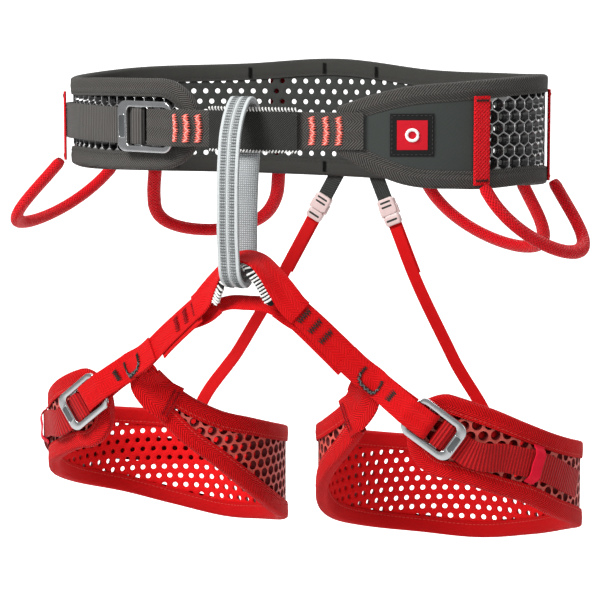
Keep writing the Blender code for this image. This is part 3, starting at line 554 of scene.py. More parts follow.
def thread(name, paths, radius, look, body, sides=5):
    """Sewing thread: one small tube along each path of points, all in one mesh."""
    points, faces, corners = [], [], []
    for path in paths:
        path = np.asarray(path, float)
        along = unit(np.gradient(path, axis=0) + 1e-9)
        side = unit(np.cross(along, (0.31, 0.52, 0.80)))
        up = np.cross(along, side)
        turns = np.linspace(0, 2 * math.pi, sides, endpoint=False)
        rings = []
        for i in range(len(path)):
            thin = 0.55 if i in (0, len(path) - 1) else 1.0
            spokes = [side[i] * math.cos(t) + up[i] * math.sin(t) for t in turns]
            rings.append([path[i] + spoke * radius * thin for spoke in spokes])
        us = [radius * t for t in (*turns, 2 * math.pi)]
        made = lofted(rings, us, run_lengths(path))
        start = sum(len(block) for block in points)
        points.append(made[0])
        faces += [tuple(start + k for k in face) for face in made[1]]
        corners += made[2]
    return piece(name, np.vstack(points), faces, look, body, (), corners)


def satin(line, curve, width, lift, pitch=0.75):
    """One zigzag path that covers a curve of (distance, across) points on a line."""
    curve = np.asarray(curve, float)
    lengths = run_lengths(curve)
    count = max(4, int(lengths[-1] / pitch))
    path = []
    for k in range(count + 1):
        at = lengths[-1] * k / count
        middle = row_at(at, lengths, curve)
        direction = unit(row_at(at + 0.2, lengths, curve) - row_at(at - 0.2, lengths, curve) + 1e-9)
        side = 1 if k % 2 else -1
        wobble = 0.12 * math.sin(7.3 * k)
        reach = side * (width / 2 + wobble)
        s, across = middle + np.array((-direction[1], direction[0])) * reach
        if path:
            path.append((path[-1] + line.at(s, across, lift)) / 2 + line.axes(middle[0])[1] * 0.25)
        path.append(line.at(s, across, lift))
    return path


def tack(line, s, half, width, lift, pitch):
    """A straight satin tack across a line, `half` mm each way from its middle."""
    return satin(line, [(s, -half), (s, half)], width, lift, pitch)


# Padded bands: a perforated lining, a moulded net and folded tapes round the edges.

HOLE_RADIUS = 1.9
TAPE_REACH = 10.0
TURN_TO_ARC = 57.3  # degrees in a radian, rounded, as the weave of the linings and nets is laid out
TAPE_STITCH_PITCH = 3.3
TAPE_STITCH_INSET = 8.7
TAPE_INSIDE = range(12, 23)  # the faces round a tape's section that show its inner side

# Cell pitch, the height of one row of cells, the angle past which the lining is plain, and the size of the
# openings between the net's crests: a radius, or a share of the cell when it is below 1.
WAIST_CELLS = (8.9, 2.5, 226.0, 0.84)
LEG_CELLS = (8.2, -250.0, 222.0, 3.3)


class Grid:
    """The six-sided cells of a band's lining and net: where each stands and whether it is punched."""

    def __init__(self, band, pitch, first_row, solid_from):
        self.band = band
        self.solid_from = band.length_at(solid_from)
        self.side = pitch / math.sqrt(3)
        row_step = pitch * math.sqrt(3) / 2
        corner_turns = np.radians(np.arange(0, 360, 30) + 30)
        reach = np.where(np.arange(12) % 2 == 0, self.side, pitch / 2)
        self.outer = np.stack([np.cos(corner_turns) * reach, np.sin(corner_turns) * reach], axis=1)
        self.circle = np.stack([np.cos(corner_turns), np.sin(corner_turns)], axis=1)
        low, high = band.bottoms.min(), band.tops.max()
        self.cells = []
        for row in range(int((low - first_row) / row_step) - 1, int((high - first_row) / row_step) + 2):
            height = first_row + row * row_step
            for column in range(-1, int(band.length / pitch) + 2):
                s = (column + 0.5 * (row % 2)) * pitch
                self.add_cell(s, height)

    def add_cell(self, s, height):
        tops = self.band.top(s + self.outer[:, 0])
        bottoms = self.band.bottom(s + self.outer[:, 0])
        heights = height + self.outer[:, 1]
        inside = (heights > bottoms) & (heights < tops)
        if not inside.any():
            return
        room = min(self.band.top(s) - height, height - self.band.bottom(s), self.band.length - s, s)
        self.cells.append((s, height, room > TAPE_REACH - 1.0))

    def mesh(self, name, levels, looks, body, node, slot, pierced=True):
        """A skin of cells. `levels` are rings from the rim in: radius (a share if below 1), off and look."""
        points, faces, kinds = [], [], []
        for s, height, punched in self.cells:
            start = len(points) * 12
            flat = np.array((s, height)) + self.outer
            points.append(self.placed(flat, levels[0][1]))
            if not punched or (s > self.solid_from and not pierced):
                faces.append(tuple(range(start, start + 12)))
                kinds.append(0)
                continue
            for ring, (radius, off, kind) in enumerate(levels[1:]):
                ring_of = self.outer if radius < 1 else self.circle
                points.append(self.placed(np.array((s, height)) + ring_of * radius, off))
                for j in range(12):
                    m = (j + 1) % 12
                    a, b = start + ring * 12, start + (ring + 1) * 12
                    faces.append((a + j, a + m, b + m, b + j))
                    kinds.append(kind)
        points = np.vstack(points)
        _, first, index = np.unique(np.round(points, 3), axis=0, return_index=True, return_inverse=True)
        index = index.reshape(-1)
        flip = self.band.mirror * (1 if levels[0][1] > NET_OUT / 2 else -1)
        clean, looks_of = [], []
        for face, kind in zip(faces, kinds):
            face = [int(index[k]) for k in face]
            face = [k for n, k in enumerate(face) if k != face[n - 1]]
            if len(set(face)) >= 3 and len(set(face)) == len(face):
                clean.append(tuple(face[::flip]))
                looks_of.append(kind)
        corners = points[first][np.concatenate([np.array(face) for face in clean])]
        turn = np.degrees(np.arctan2(corners[:, 1], corners[:, 0] - self.band.centre_x))
        flat = np.stack([turn * self.band.half_depth / TURN_TO_ARC, corners[:, 2]], axis=1)
        return piece(name, points[first], clean, looks, body, (node,), flat, looks_of, slot)

    def placed(self, flat, off):
        s = np.clip(flat[:, 0], 0.6, self.band.length - 0.2)
        height = np.clip(flat[:, 1], self.band.bottom(s) + 0.3, self.band.top(s) - 0.3)
        return self.band.place(s, height, off)


def make_padding(body, band, cells, looks, slots):
    """The perforated lining, plain towards the free end, and the moulded net over it."""
    pitch, first_row, solid_from, crest = cells
    grid = Grid(band, pitch, first_row, solid_from)
    lining_look, crest_look, wall_look = looks
    lining = [
        (0.0, 0.0, 0),
        (HOLE_RADIUS + 0.55, -0.05, 0),
        (HOLE_RADIUS + 0.1, 0.25, 0),
        (HOLE_RADIUS, 0.7, 0),
        (HOLE_RADIUS, 1.7, 0),
    ]
    obj = grid.mesh(body + "_lining_skin", lining, [lining_look], body, body + "_lining", slots[0], False)
    # On the waist, the crests' light grey look is a painted highlight on the black net; the walls down into the
    # cups take the wall look.
    net = [
        (0.0, NET_OUT - 0.25, 0),
        (crest + 0.07, NET_OUT, 0),
        (crest, NET_OUT - 0.35, 1),
        (crest - 0.12, NET_OUT - 1.9, 1),
        (HOLE_RADIUS + 0.3, 1.75, 1),
    ]
    grid.mesh(body + "_net_skin", net, [crest_look, wall_look], body, body + "_net", slots[1])


def tape_section(pucker):
    """(inward, off) round a folded tape: its outer face, the fold, its inner face and back inside it."""
    fold = [(0.6 - 2.2 * math.sin(a), 2.5 + 4.15 * math.cos(a)) for a in np.radians(np.linspace(0, 180, 9))]
    outer = [(11.0, 5.5), (10.7, 6.35), (9.4, 6.55), (8.7, 6.3), (8.0, 6.6), (5.0, 6.7 + pucker), (2.4, 6.75)]
    inner = [(2.4, -1.75), (5.0, -1.7 - pucker), (8.0, -1.6), (8.7, -1.3), (9.4, -1.5), (10.7, -1.3)]
    inner.append((11.0, -0.3))
    inside = [(10.0, -0.35), (1.0, -0.35), (0.2, 2.5), (1.0, 5.35), (10.0, 5.4)]
    return outer + fold + inner + inside


def make_tape(name, band, side, looks, thread_look, body, node, slot):
    """A tape folded over a band's edge and sewn through, with its two rows of stitches."""
    s, height, inward, run_along = band.edge(side, 3.0)
    rings = []
    for k in range(len(s)):
        pucker = 0.3 * math.sin(run_along[k] * 0.62) * math.sin(run_along[k] * 0.23 + 1.0)
        section = np.array(tape_section(pucker))
        flat = np.array((s[k], height[k])) + inward[k] * section[:, :1]
        rings.append(band.place(flat[:, 0], flat[:, 1], section[:, 1]))
    around = run_lengths(np.array(tape_section(0.0)), True)
    made = lofted(rings, list(around), run_along)
    faces, corners = made[1], made[2]
    if side * band.mirror > 0:
        faces = [face[::-1] for face in faces]
        corners = [corners[k] for face in chunked(faces) for k in face]
    count = len(rings[0])
    kinds = [int(n % count in TAPE_INSIDE) for n in range(len(faces) - 2)] + [0, 0]
    piece(name, made[0], faces, looks, body, (node,), corners, kinds, slot)
    paths = []
    for off, lift in ((6.3, 0.28), (-1.3, -0.28)):
        for k in range(int(run_along[-1] / TAPE_STITCH_PITCH)):
            stitch = []
            for share, rise in ((0.10, 0.0), (0.30, 1.0), (0.65, 1.0), (0.85, 0.0)):
                at = (k + share) * TAPE_STITCH_PITCH
                edge = np.array([np.interp(at, run_along, s), np.interp(at, run_along, height)])
                flat = edge + row_at(at, run_along, inward) * TAPE_STITCH_INSET
                stitch.append(band.place(flat[0], flat[1], off + lift * rise))
            paths.append(stitch)
    thread(name + "_stitches", paths, 0.26, thread_look, body, 4)


def chunked(faces):
    """Corner numbers of each face, turned round with it."""
    start = 0
    for face in faces:
        yield range(start + len(face) - 1, start - 1, -1)
        start += len(face)


def make_tapes(body, band, looks, thread_look, slot):
    for side, place in ((1, "top"), (-1, "bottom")):
        node = "%s_%s_binding" % (body, place)
        make_tape(node + "_tape", band, side, looks, thread_look, body, node, slot)


# Rigid fittings.


def rounded_outline(length, width, radius, steps=8):
    """(x, y) round a rectangle with rounded corners, with points along its straight sides too."""
    found = []
    corners = ((1, 1, 0), (-1, 1, 90), (-1, -1, 180), (1, -1, 270))
    for x, y, first in corners:
        centre = (x * (length / 2 - radius), y * (width / 2 - radius))
        for a in np.radians(np.linspace(first, first + 90, steps)):
            found.append((centre[0] + radius * math.cos(a), centre[1] + radius * math.sin(a)))
    return np.array(found)


def plate(name, place, outer, window, shift, thick, body, nodes, round_by):
    """A flat silver ring with rounded edges: outer and window are (length, width, corner radius)."""
    centre, along, normal, across = place
    outside = rounded_outline(*outer)
    inside = rounded_outline(*window) + (shift, 0.0)
    wall = inside - outside
    reach = np.linalg.norm(wall, axis=1, keepdims=True)
    ahead = wall / reach
    bends = np.radians(np.linspace(0, 90, 4))
    half = thick / 2
    profile = [(round_by * (1 - math.cos(a)), half - round_by + round_by * math.sin(a)) for a in bends]
    rings = []
    for inset, up in profile:
        rings.append((outside + ahead * inset, up))
    for inset, up in profile[::-1]:
        rings.append((inside - ahead * inset, up))
    for inset, up in profile:
        rings.append((inside - ahead * inset, -up))
    for inset, up in profile[::-1]:
        rings.append((outside + ahead * inset, -up))
    placed = [[centre + along * x + across * y + normal * up for x, y in flat] for flat, up in rings]
    made = lofted(placed, range(len(outside) + 1), range(len(placed) + 1), True)
    return piece(name, *made[:2], "silver", body, nodes, slot=SILVER)


def pad(name, place, size, heights, look, body, nodes, slot, round_by):
    """A solid rounded block between two heights over a place: size is (length, width, corner radius)."""
    centre, along, normal, across = place
    low, high = heights
    rings = []
    outline = rounded_outline(*size, 6)
    bends = np.radians((0, 30, 60, 90))
    levels = [(1 - math.cos(a), high - round_by + round_by * math.sin(a)) for a in bends]
    levels = [(1 - math.cos(a), low + round_by - round_by * math.sin(a)) for a in bends[::-1]] + levels
    for inset, up in levels:
        shrunk = outline * (1 - 2 * round_by * inset / np.array(size[:2]))
        rings.append([centre + along * x + across * y + normal * up for x, y in shrunk])
    made = lofted(rings, range(len(outline) + 1), range(len(rings)))
    return piece(name, *made[:2], look, body, nodes, slot=slot)


PAD_SHARE = 0.62  # how much of the thick bar and of the webbing's width the sunk pad takes up


class Buckle:
    """A two-plate buckle for one webbing width, with distances along the strap from its middle."""

    def __init__(self, webbing, size):
        self.webbing = webbing
        self.half = 24.0 * size
        self.bar = 8.0 * size
        self.far_bar = 4.0 * size
        self.slider_bar = 6.5 * size
        self.slider_from = -11.0 * size
        self.slider_to = 12.0 * size

    def build(self, prefix, line, s, frame_body, slider_body):
        """The slider plate and the outer frame, with a sunk pad on the frame's thick bar."""
        place = place_on(line, s, FRAME_HEIGHT)
        centre, along, normal, across = place
        outer = (2 * self.half, self.webbing + 10.0, 7.0)
        window = (2 * self.half - self.bar - self.far_bar, self.webbing + 1.6, 3.5)
        shift = (self.bar - self.far_bar) / 2
        nodes = (prefix + "_frame",)
        plate(prefix + "_ring", place, outer, window, shift, FRAME_THICK, frame_body, nodes, 0.55)
        bar = centre - along * (self.half - self.bar / 2)
        length, width = self.bar * PAD_SHARE, self.webbing * PAD_SHARE
        top = FRAME_THICK / 2
        place = (bar + normal * (top + 0.05), along, normal, across)
        rim = (length + 1.2, width + 1.2, 1.8)
        inner = (length - 0.2, width - 0.2, 1.3)
        plate(prefix + "_pad_rim", place, rim, inner, 0.0, 0.5, frame_body, (), 0.2)
        place = (bar, along, normal, across)
        heights = (top - 0.6, top + 0.06)
        size = (length, width, 1.4)
        pad(prefix + "_pad", place, size, heights, "silver_pad", frame_body, (), SILVER, 0.15)
        place = place_on(line, s + (self.slider_to + self.slider_from) / 2, SLIDER_HEIGHT)
        length = self.slider_to - self.slider_from
        outer = (length, self.webbing + 7.0, 4.0)
        window = (length - 2 * self.slider_bar, self.webbing + 1.5, 2.0)
        nodes = (prefix + "_slider",)
        plate(prefix + "_slider_ring", place, outer, window, 0.0, SLIDER_THICK, slider_body, nodes, 0.45)

    def adjusting_profile(self, s, root, tail_end):
        """Webbing out along the band, over the slider bar and back under the frame bar as the tail."""
        radius = (FOLD_LAYER - LOAD_LAYER) / 2
        turn_at = (s + self.slider_from + self.slider_bar - 0.7, (FOLD_LAYER + LOAD_LAYER) / 2)
        drop = (s + self.slider_from - 0.2, FOLD_LAYER)
        return [
            *run((root, LOAD_LAYER), (turn_at[0], LOAD_LAYER)),
            *half_turn(turn_at, radius, -90, 90),
            *run((turn_at[0], FOLD_LAYER), drop, 2.5),
            drop,
            (drop[0] - 1.0, FOLD_LAYER - 0.5),
            (drop[0] - 2.2, TAIL_LAYER + 0.6),
            (drop[0] - 3.4, TAIL_LAYER),
            *run((drop[0] - 6.0, TAIL_LAYER), (tail_end, TAIL_LAYER)),
            (tail_end, TAIL_LAYER),
        ]

    def anchor_profile(self, s, end, far):
        """Webbing in from `far` under the plates, round both far bars, and back over them to `end`."""
        turn_at = (s + self.slider_to - self.slider_bar + 1.1, (UNDER_LAYER + OVER_LAYER) / 2)
        edge = s + self.half + 1
        return [
            *run((far, UNDER_LAYER), (turn_at[0], UNDER_LAYER)),
            *half_turn(turn_at, (OVER_LAYER - UNDER_LAYER) / 2, 270, 90),
            *run((turn_at[0], OVER_LAYER), (edge, OVER_LAYER)),
            (edge, OVER_LAYER),
            (edge + 6, OVER_LAYER - 2.6),
            (edge + 12, TOP_LAYER + 1.3),
            (edge + 18, TOP_LAYER),
            *run((edge + 22, TOP_LAYER), (end, TOP_LAYER)),
            (end, TOP_LAYER),
        ]


def place_on(line, s, height):
    """Centre and axes of a plate that lies flat over a line at a distance along it."""
    return (line.at(s, 0.0, height), *line.axes(s))


# Slot names that several pieces pass to the mesh makers.
SILVER = "silver_aluminium"
GREY = "grey_webbing"
CHARCOAL = "charcoal_fabric"
RED = "red_webbing"

# Waist. The webbing's root and its tail's end are distances from the start of its line, and its far end is
# back from the line's end. The fold's end, the guard and the coral tacks are from the buckle's middle.
STRAIGHT_REACH = 26.0  # how far each way from a buckle's middle its strap line is straight
WAIST_ROOT = 12.0
WAIST_TAIL_END = 4.0
WAIST_FAR_END = 2.0
WAIST_FOLD_END = 66.0
GUARD_REACH = (50.0, 117.0)
CORAL_TACKS = (27.5, 34.5, 41.5, 121.0, 130.0, 138.5)
DARK_TACKS = ((78, -1), (98, -1), (98, 1), (84, 1), (118, 1), (140, -1))  # angle, and 1 for the top tape
WAIST_WEBBING_HEIGHT = 1.5
WAIST_BUCKLE_ANGLE = 244.8
WAIST_BUCKLE = Buckle(WAIST_WEBBING, 1.0)
LEG_BUCKLE = Buckle(LEG_WEBBING, 0.83)
waist = Band(WAIST_CENTRE_X, WAIST_HALF_WIDTH, WAIST_HALF_DEPTH, WAIST_EDGES, 247.5, 1)


def waist_line():
    """The line of the waist webbing, from the wearer's right side round the front to the narrow end."""
    rows = []
    for angle in (168, 180, 192, 204, 214, 223, 231, 236, 243, 250, 256, 264, 273, 282, 291, 299):
        height = WAIST_WEBBING_HEIGHT - 2.5 * max(0.0, (214 - angle) / 46)
        rows.append([*waist.point(angle, height, 0.0), *waist.outward(angle)])
    line = Line(smooth_rows(rows, 4.0))
    middle = line.nearest(waist.point(WAIST_BUCKLE_ANGLE, WAIST_WEBBING_HEIGHT, 0.0))
    return line.straightened(middle, STRAIGHT_REACH), middle


def make_waist():
    looks = ("lining", "net_crest", "net_wall")
    make_padding("waist", waist, WAIST_CELLS, looks, (CHARCOAL, "black_net"))
    make_tapes("waist", waist, ["grey_tape", "dark_web"], "grey_thread", GREY)
    line, middle = waist_line()
    size = (WAIST_WEBBING, WEBBING_THICK)
    rows = line.lay(WAIST_BUCKLE.adjusting_profile(middle, WAIST_ROOT, WAIST_TAIL_END))
    nodes = ("waist_adjust_webbing",)
    strap("waist_adjust_strap", rows, *size, "grey_rib", "waist", nodes, 1.6, slot=GREY)
    rows = line.lay(WAIST_BUCKLE.anchor_profile(middle, middle + WAIST_FOLD_END, line.length - WAIST_FAR_END))
    nodes = ("waist_tie_in_webbing",)
    strap("waist_tie_in_strap", rows, *size, "grey_tape", "waist", nodes, 1.6, slot=GREY)
    WAIST_BUCKLE.build("waist_buckle", line, middle, "waist_buckle_frame", "waist")
    height = UNDER_LAYER + 2 * (WEBBING_THICK + GAP) + 0.1
    rows = line.lay(run((middle + GUARD_REACH[0], height), (middle + GUARD_REACH[1], height)))
    nodes = ("waist_tie_in_guard",)
    size = (WAIST_WEBBING + 3.0, 1.3)
    _, guard = strap("waist_guard", rows, *size, "guard", "waist", nodes, 1.5, slot=CHARCOAL)
    make_cord_edges(guard)
    make_waist_tacks(line, middle)


def make_cord_edges(guard):
    """White overlock cord along both edges of the guard: a winding of slanted thread."""
    pitch, steps = 2.3, 8
    turns = guard.length / pitch
    paths = []
    for side, radius in ((1, 1.15), (-1, 0.7)):
        path = []
        for k in range(int(turns * steps) + 1):
            angle = 2 * math.pi * k / steps
            s = guard.length * k / (turns * steps)
            across = -side * (WAIST_WEBBING / 2 + 1.4 + radius * math.cos(angle))
            path.append(guard.at(s, across, radius * math.sin(angle)))
        paths.append(path)
    thread("waist_guard_cord", paths, 0.55, "white_thread", "waist")


def make_waist_tacks(line, middle):
    """Coral zigzag tacks across the webbing, and dark ones on the belt's tapes."""
    tacks, flecks = [], []
    for s in CORAL_TACKS:
        lift = (TOP_LAYER if s < WAIST_FOLD_END else UNDER_LAYER) + WEBBING_THICK / 2 + 0.3
        if s < 43:
            lift += (43 - s) * 0.30
        curve = [(middle + s - 0.5, -9.3), (middle + s + 0.6, 0.0), (middle + s - 0.5, 9.3)]
        tacks.append(satin(line, curve, 4.4, lift, 0.8))
        flecks.append(satin(line, curve, 2.6, lift + 0.25, 2.4))
    thread("waist_coral_tacks", tacks, 0.55, "coral", "waist")
    thread("waist_pale_tacks", flecks, 0.32, "fleck", "waist")
    paths = []
    for angle, side in DARK_TACKS:
        height = waist.heights(angle)[0 if side > 0 else 1] - side * 5.5
        s = waist.length_at(angle)
        path = []
        for k in range(26):
            reach = 1.4 if k % 2 else -1.4
            path.append(waist.place(s + reach, height - 4.0 + 8.0 * k / 25, -2.0))
        paths.append(path)
    thread("waist_dark_tacks", paths, 0.35, "black_thread", "waist")


def patch(name, ends, edges, off, thick, look, nodes, slot):
    """A sheet on the belt between two distances, with its bottom and top given as functions of distance."""
    low, high = edges
    spread = np.linspace(*ends, 14)
    rings = []
    for s in spread:
        levels = np.linspace(low(s), high(s), 9)
        edge = (0.25, 0, 0, 0, 0, 0, 0, 0, 0.25)
        front = [waist.place(s, level, off + thick / 2 - e) for level, e in zip(levels, edge)]
        back = [waist.place(s, level, off - thick / 2 + e * 0.5) for level, e in zip(levels, edge)][::-1]
        rings.append(back + front)
    levels = np.linspace(low(ends[0]), high(ends[0]), 9)
    made = lofted(rings, [*levels[::-1], *levels, levels[-1]], spread)
    return piece(name, *made[:2], look, "waist", nodes, made[2], slot=slot)


# The panel's two ends are angles, and the label's place is an angle and a height. The panel's layer is how
# far its middle is off the belt's inner face. Each of the label's squares has half its side, then its layer.
PANEL_ENDS = (-66.0, -32.5)
PANEL_LAYER = 5.75
PANEL_THICK = 0.8
LABEL_PLACE = (-50.0, -1.0)
LABEL_FRAME = (14.2, 6.55)
LABEL_PATCH = (9.8, 7.15)
LABEL_THICK = 0.5
LABEL_SEAM_INSET = 1.2


def make_panel():
    """The plain cloth panel between the tapes at the belt's wide end."""
    first, last = (waist.length_at(angle) for angle in PANEL_ENDS)
    edges = (lambda s: waist.bottom(s) + TAPE_REACH, lambda s: waist.top(s) - TAPE_REACH)
    nodes = ("waist_side_panel",)
    layer = (PANEL_LAYER, PANEL_THICK)
    panel = patch("waist_panel_sheet", (first, last), edges, *layer, "panel", nodes, CHARCOAL)


def make_square(name, size, look, nodes, slot):
    """One of the label's two squares of cloth: size is half its side and its layer."""
    half, off = size
    middle, height = waist.length_at(LABEL_PLACE[0]), LABEL_PLACE[1]
    edges = (lambda s: height - half, lambda s: height + half)
    square = patch(name, (middle - half, middle + half), edges, off, LABEL_THICK, look, nodes, slot)


def make_label():
    """The small square label, its dark frame sewn down with single stitches, and the plain ring on it."""
    make_square("waist_label_frame", LABEL_FRAME, "label_frame", (), CHARCOAL)
    make_square("waist_label_patch", LABEL_PATCH, "label", ("waist_label",), "label_red")
    middle, height = waist.length_at(LABEL_PLACE[0]), LABEL_PLACE[1]
    corners = ((-1, -1), (1, -1), (1, 1), (-1, 1))
    paths = []
    reach = LABEL_FRAME[0] - LABEL_SEAM_INSET
    for (x0, y0), (x1, y1) in zip(corners, corners[1:] + corners[:1]):
        for k in range(9):
            a, b = (k + 0.15) / 9, (k + 0.75) / 9
            ends = [(x0 + (x1 - x0) * t, y0 + (y1 - y0) * t) for t in (a, (a + b) / 2, b)]
            paths.append([waist.place(middle + x * reach, height + y * reach, 6.95) for x, y in ends])
    thread("waist_label_stitches", paths, 0.28, "grey_thread", "waist")
    turns = np.radians(np.linspace(0, 360, 25))
    ring = [waist.place(middle + 3.6 * math.cos(a), height + 3.6 * math.sin(a), 7.5) for a in turns]
    thread("waist_label_mark", [ring], 1.1, "mark", "waist", 8)


# Gear loops: the angles of the two ends on the belt, how far the belly leans towards the second end, how far
# it stands out and hangs down, and how square it is.
GEAR_LOOPS = (
    ("front_left", -30.5, 12.0, 0.26, 31.0, 46.0, 0.80),
    ("rear_left", 73.0, 39.0, 0.22, 36.0, 51.0, 0.75),
    ("front_right", 161.0, 198.0, 0.28, 44.0, 46.0, 0.80),
    ("rear_right", 111.0, 146.0, 0.10, 30.0, 50.0, 0.42),
)
GEAR_TUBE = (10.4, 8.0)
GEAR_STRAP = (12.0, 1.2)
GEAR_WEB_THICK = 1.8


def make_gear_loop(name, first, second, lean, reach, hang, square):
    """A stiffened sleeve that hangs out from the belt, and the flat strap over the belt at each end."""
    ends = []
    for part, angle in (("first", first), ("second", second)):
        top, bottom = waist.heights(angle)
        over_webbing = name == "front_right" and part == "second"
        off = (TAIL_LAYER + WEBBING_THICK / 2 if over_webbing else BINDING_OUTER) + 0.4 + GEAR_STRAP[1] / 2
        levels = np.linspace(top - 9.0, bottom + 1.5, 6)
        rows = np.array([[*waist.point(angle, level, off), *waist.outward(angle)] for level in levels])
        node = "gear_strap_%s_%s" % (name, part)
        size = (GEAR_STRAP[0], GEAR_WEB_THICK)
        _, line = strap(node + "_web", rows, *size, "red_tube", "waist", (node,), slot=RED)
        lift = GEAR_STRAP[1] / 2 + 0.25
        paths = [tack(line, at, 4.6, 2.2, lift, 0.7) for at in (3.0, line.length - 3.0)]
        thread(node + "_tacks", paths, 0.36, "black_thread", "waist")
        ends.append(waist.point(angle, bottom + 0.8, off + (GEAR_TUBE[1] - GEAR_STRAP[1]) / 2))
    start, end = ends
    chord = end - start
    outward = unit(np.array([chord[1], -chord[0], 0.0]))
    if np.dot(outward, (start + end) / 2) < 0:
        outward = -outward
    stations = []
    for k in range(17):
        turn = math.pi * k / 16
        belly = max(0.0, math.sin(turn)) ** square
        share = 0.5 - 0.5 * math.cos(turn) + lean * belly**2
        drop = np.array((0.0, 0.0, hang * belly))
        stations.append([*(start + chord * share + outward * reach * belly - drop), *outward])
    rows = smooth_rows(stations, 6.0)
    rows[:, 3:] = outward + np.array((0.0, 0.0, 0.8))
    rows[0, 3:] = outward
    rows[-1, 3:] = outward
    node = "gear_loop_" + name
    tube(node + "_sleeve", rows, *GEAR_TUBE, "red_tube", node, (node,), slot=RED)


# Belay loop and bridge.
BELAY_OUTLINE = (
    (-113.5, 22.3),
    (-123, 15.5),
    (-131, 2),
    (-135, -18),
    (-136.5, -50),
    (-135.5, -78),
    (-131.2, -96.5),
    (-122, -101.5),
    (-113, -97),
    (-108.6, -84),
    (-107.2, -55),
    (-104.4, -26),
    (-101.8, -8),
    (-101.4, 8),
    (-104.6, 18.5),
)
BELAY_THICK = 3.0
LADDER_PITCH = 2.0
LADDER_HALF = 2.1
LADDER_PLACES = (-3.6, 3.6)
BRIDGE_X = 5.0
BRIDGE_Y = -121.0
LEG_ROOT_REACH = 33.0
ROOT_NORMAL = (0.28, -0.87, 0.42)
ARCH_END = (LEG_ROOT_REACH - 1.0, BRIDGE_Y + 3.2, -112.3)
LOWER_END = (LEG_ROOT_REACH - 4.0, BRIDGE_Y + 8.4, -123.0)
WEAR_STRIP = (14.0, 4.2)
WEAR_BINDING_PITCH = 2.3


def make_belay_loop():
    """The closed webbing loop, its pale rolled edges and middle line, and its two ladders of stitches."""
    stations = [[0.0, y, z, 0.0, 0.0, 0.0] for y, z in BELAY_OUTLINE]
    rows = smooth_rows(stations, 6.0, closed=True)
    along = unit(np.roll(rows[:, :3], -1, axis=0) - np.roll(rows[:, :3], 1, axis=0))
    rows[:, 3:] = np.cross(along, (1.0, 0.0, 0.0))
    slot = "pale_grey_webbing"
    size = (BELAY_WEBBING, BELAY_THICK)
    _, line = strap("belay_loop_web", rows, *size, "belay", "belay_loop", ("belay_loop",), 2.0, True, slot)
    line = Line(np.vstack([line.rows, line.rows[:1]]))
    face = BELAY_THICK / 2
    for number, across in enumerate((-BELAY_WEBBING / 2 + 1.3, 0.0, BELAY_WEBBING / 2 - 1.3)):
        edge = line.rows.copy()
        edge[:, :3] += line.across * across + line.normal * (face - 0.15)
        wide = 2.4 if across else 1.5
        name = "belay_loop_band_%d" % number
        strap(name, edge[:-1], wide, 0.9, "pale_edge", "belay_loop", (), 2.0, True, slot)
    paths = []
    half = LADDER_HALF
    pairs = ((-half, -0.3), (-half * 0.6, 0.22), (half * 0.6, 0.22), (half, -0.3))
    for k in range(int(line.length / LADDER_PITCH)):
        for across in LADDER_PLACES:
            paths.append([line.at(k * LADDER_PITCH, across + a, face + lift) for a, lift in pairs])
    thread("belay_loop_ladders", paths, 0.42, "ladder_thread", "belay_loop")


def across_bridge(half):
    """Stations from one end of the bridge to the other, from those of its wearer's left half."""
    right = [(BRIDGE_X - x, y, z, -nx, ny, nz) for x, y, z, nx, ny, nz in half[:0:-1]]
    return right + [(BRIDGE_X + x, y, z, nx, ny, nz) for x, y, z, nx, ny, nz in half]


def make_bridge():
    """The arch with its padded wear strip, and the flat strap below it."""
    arch = [
        (0, BRIDGE_Y, -82, 0, -0.30, 0.95),
        (9.5, BRIDGE_Y, -84.5, 0.38, -0.36, 0.85),
        (18, BRIDGE_Y + 0.5, -92.5, 0.58, -0.50, 0.64),
        (25, BRIDGE_Y + 1.5, -102.0, 0.50, -0.70, 0.52),
        (*ARCH_END, *ROOT_NORMAL),
    ]
    rows = smooth_rows(across_bridge(arch), 2.0)
    strap("bridge_arch", rows, LEG_WEBBING, 1.6, "red_web", "bridge", ("bridge_upper_strap",), 1.5, slot=RED)
    inner = rows[3:-3].copy()
    clear = np.clip((np.abs(inner[:, :1]) - 9.0) / 8.0, 0.0, 1.0)
    inner[:, :3] += frames(rows)[3][3:-3] * (1.0 + 5.5 * clear) - frames(rows)[2][3:-3] * 3.2
    wide, thick = WEAR_STRIP
    slot = "white_thread"
    tube("bridge_wear_strip", inner, wide, thick, "label_frame", "bridge", ("bridge_guard",), slot=slot)
    line = Line(smooth_rows(inner, 1.5))
    pitch = WEAR_BINDING_PITCH
    path = []
    for k in range(int(line.length / pitch) * 12):
        angle = 2 * math.pi * k / 12
        across = (wide / 2 + 0.2) * math.cos(angle)
        path.append(line.at(pitch * k / 12, across, (thick / 2 + 0.25) * math.sin(angle)))
    thread("bridge_wear_binding", [path], 0.75, "white_thread", "bridge", 6)
    lower = [
        (0, BRIDGE_Y + 5.0, -114.0, 0, -0.72, 0.69),
        (14, BRIDGE_Y + 5.2, -114.6, 0.05, -0.74, 0.66),
        (23, BRIDGE_Y + 6.5, -118.0, 0.26, -0.82, 0.52),
        (*LOWER_END, *ROOT_NORMAL),
    ]
    rows = smooth_rows(across_bridge(lower), 4.0)
    strap("bridge_tie", rows, 12.0, 1.6, "red_web", "bridge", ("bridge_lower_strap",), 1.5, slot=RED)


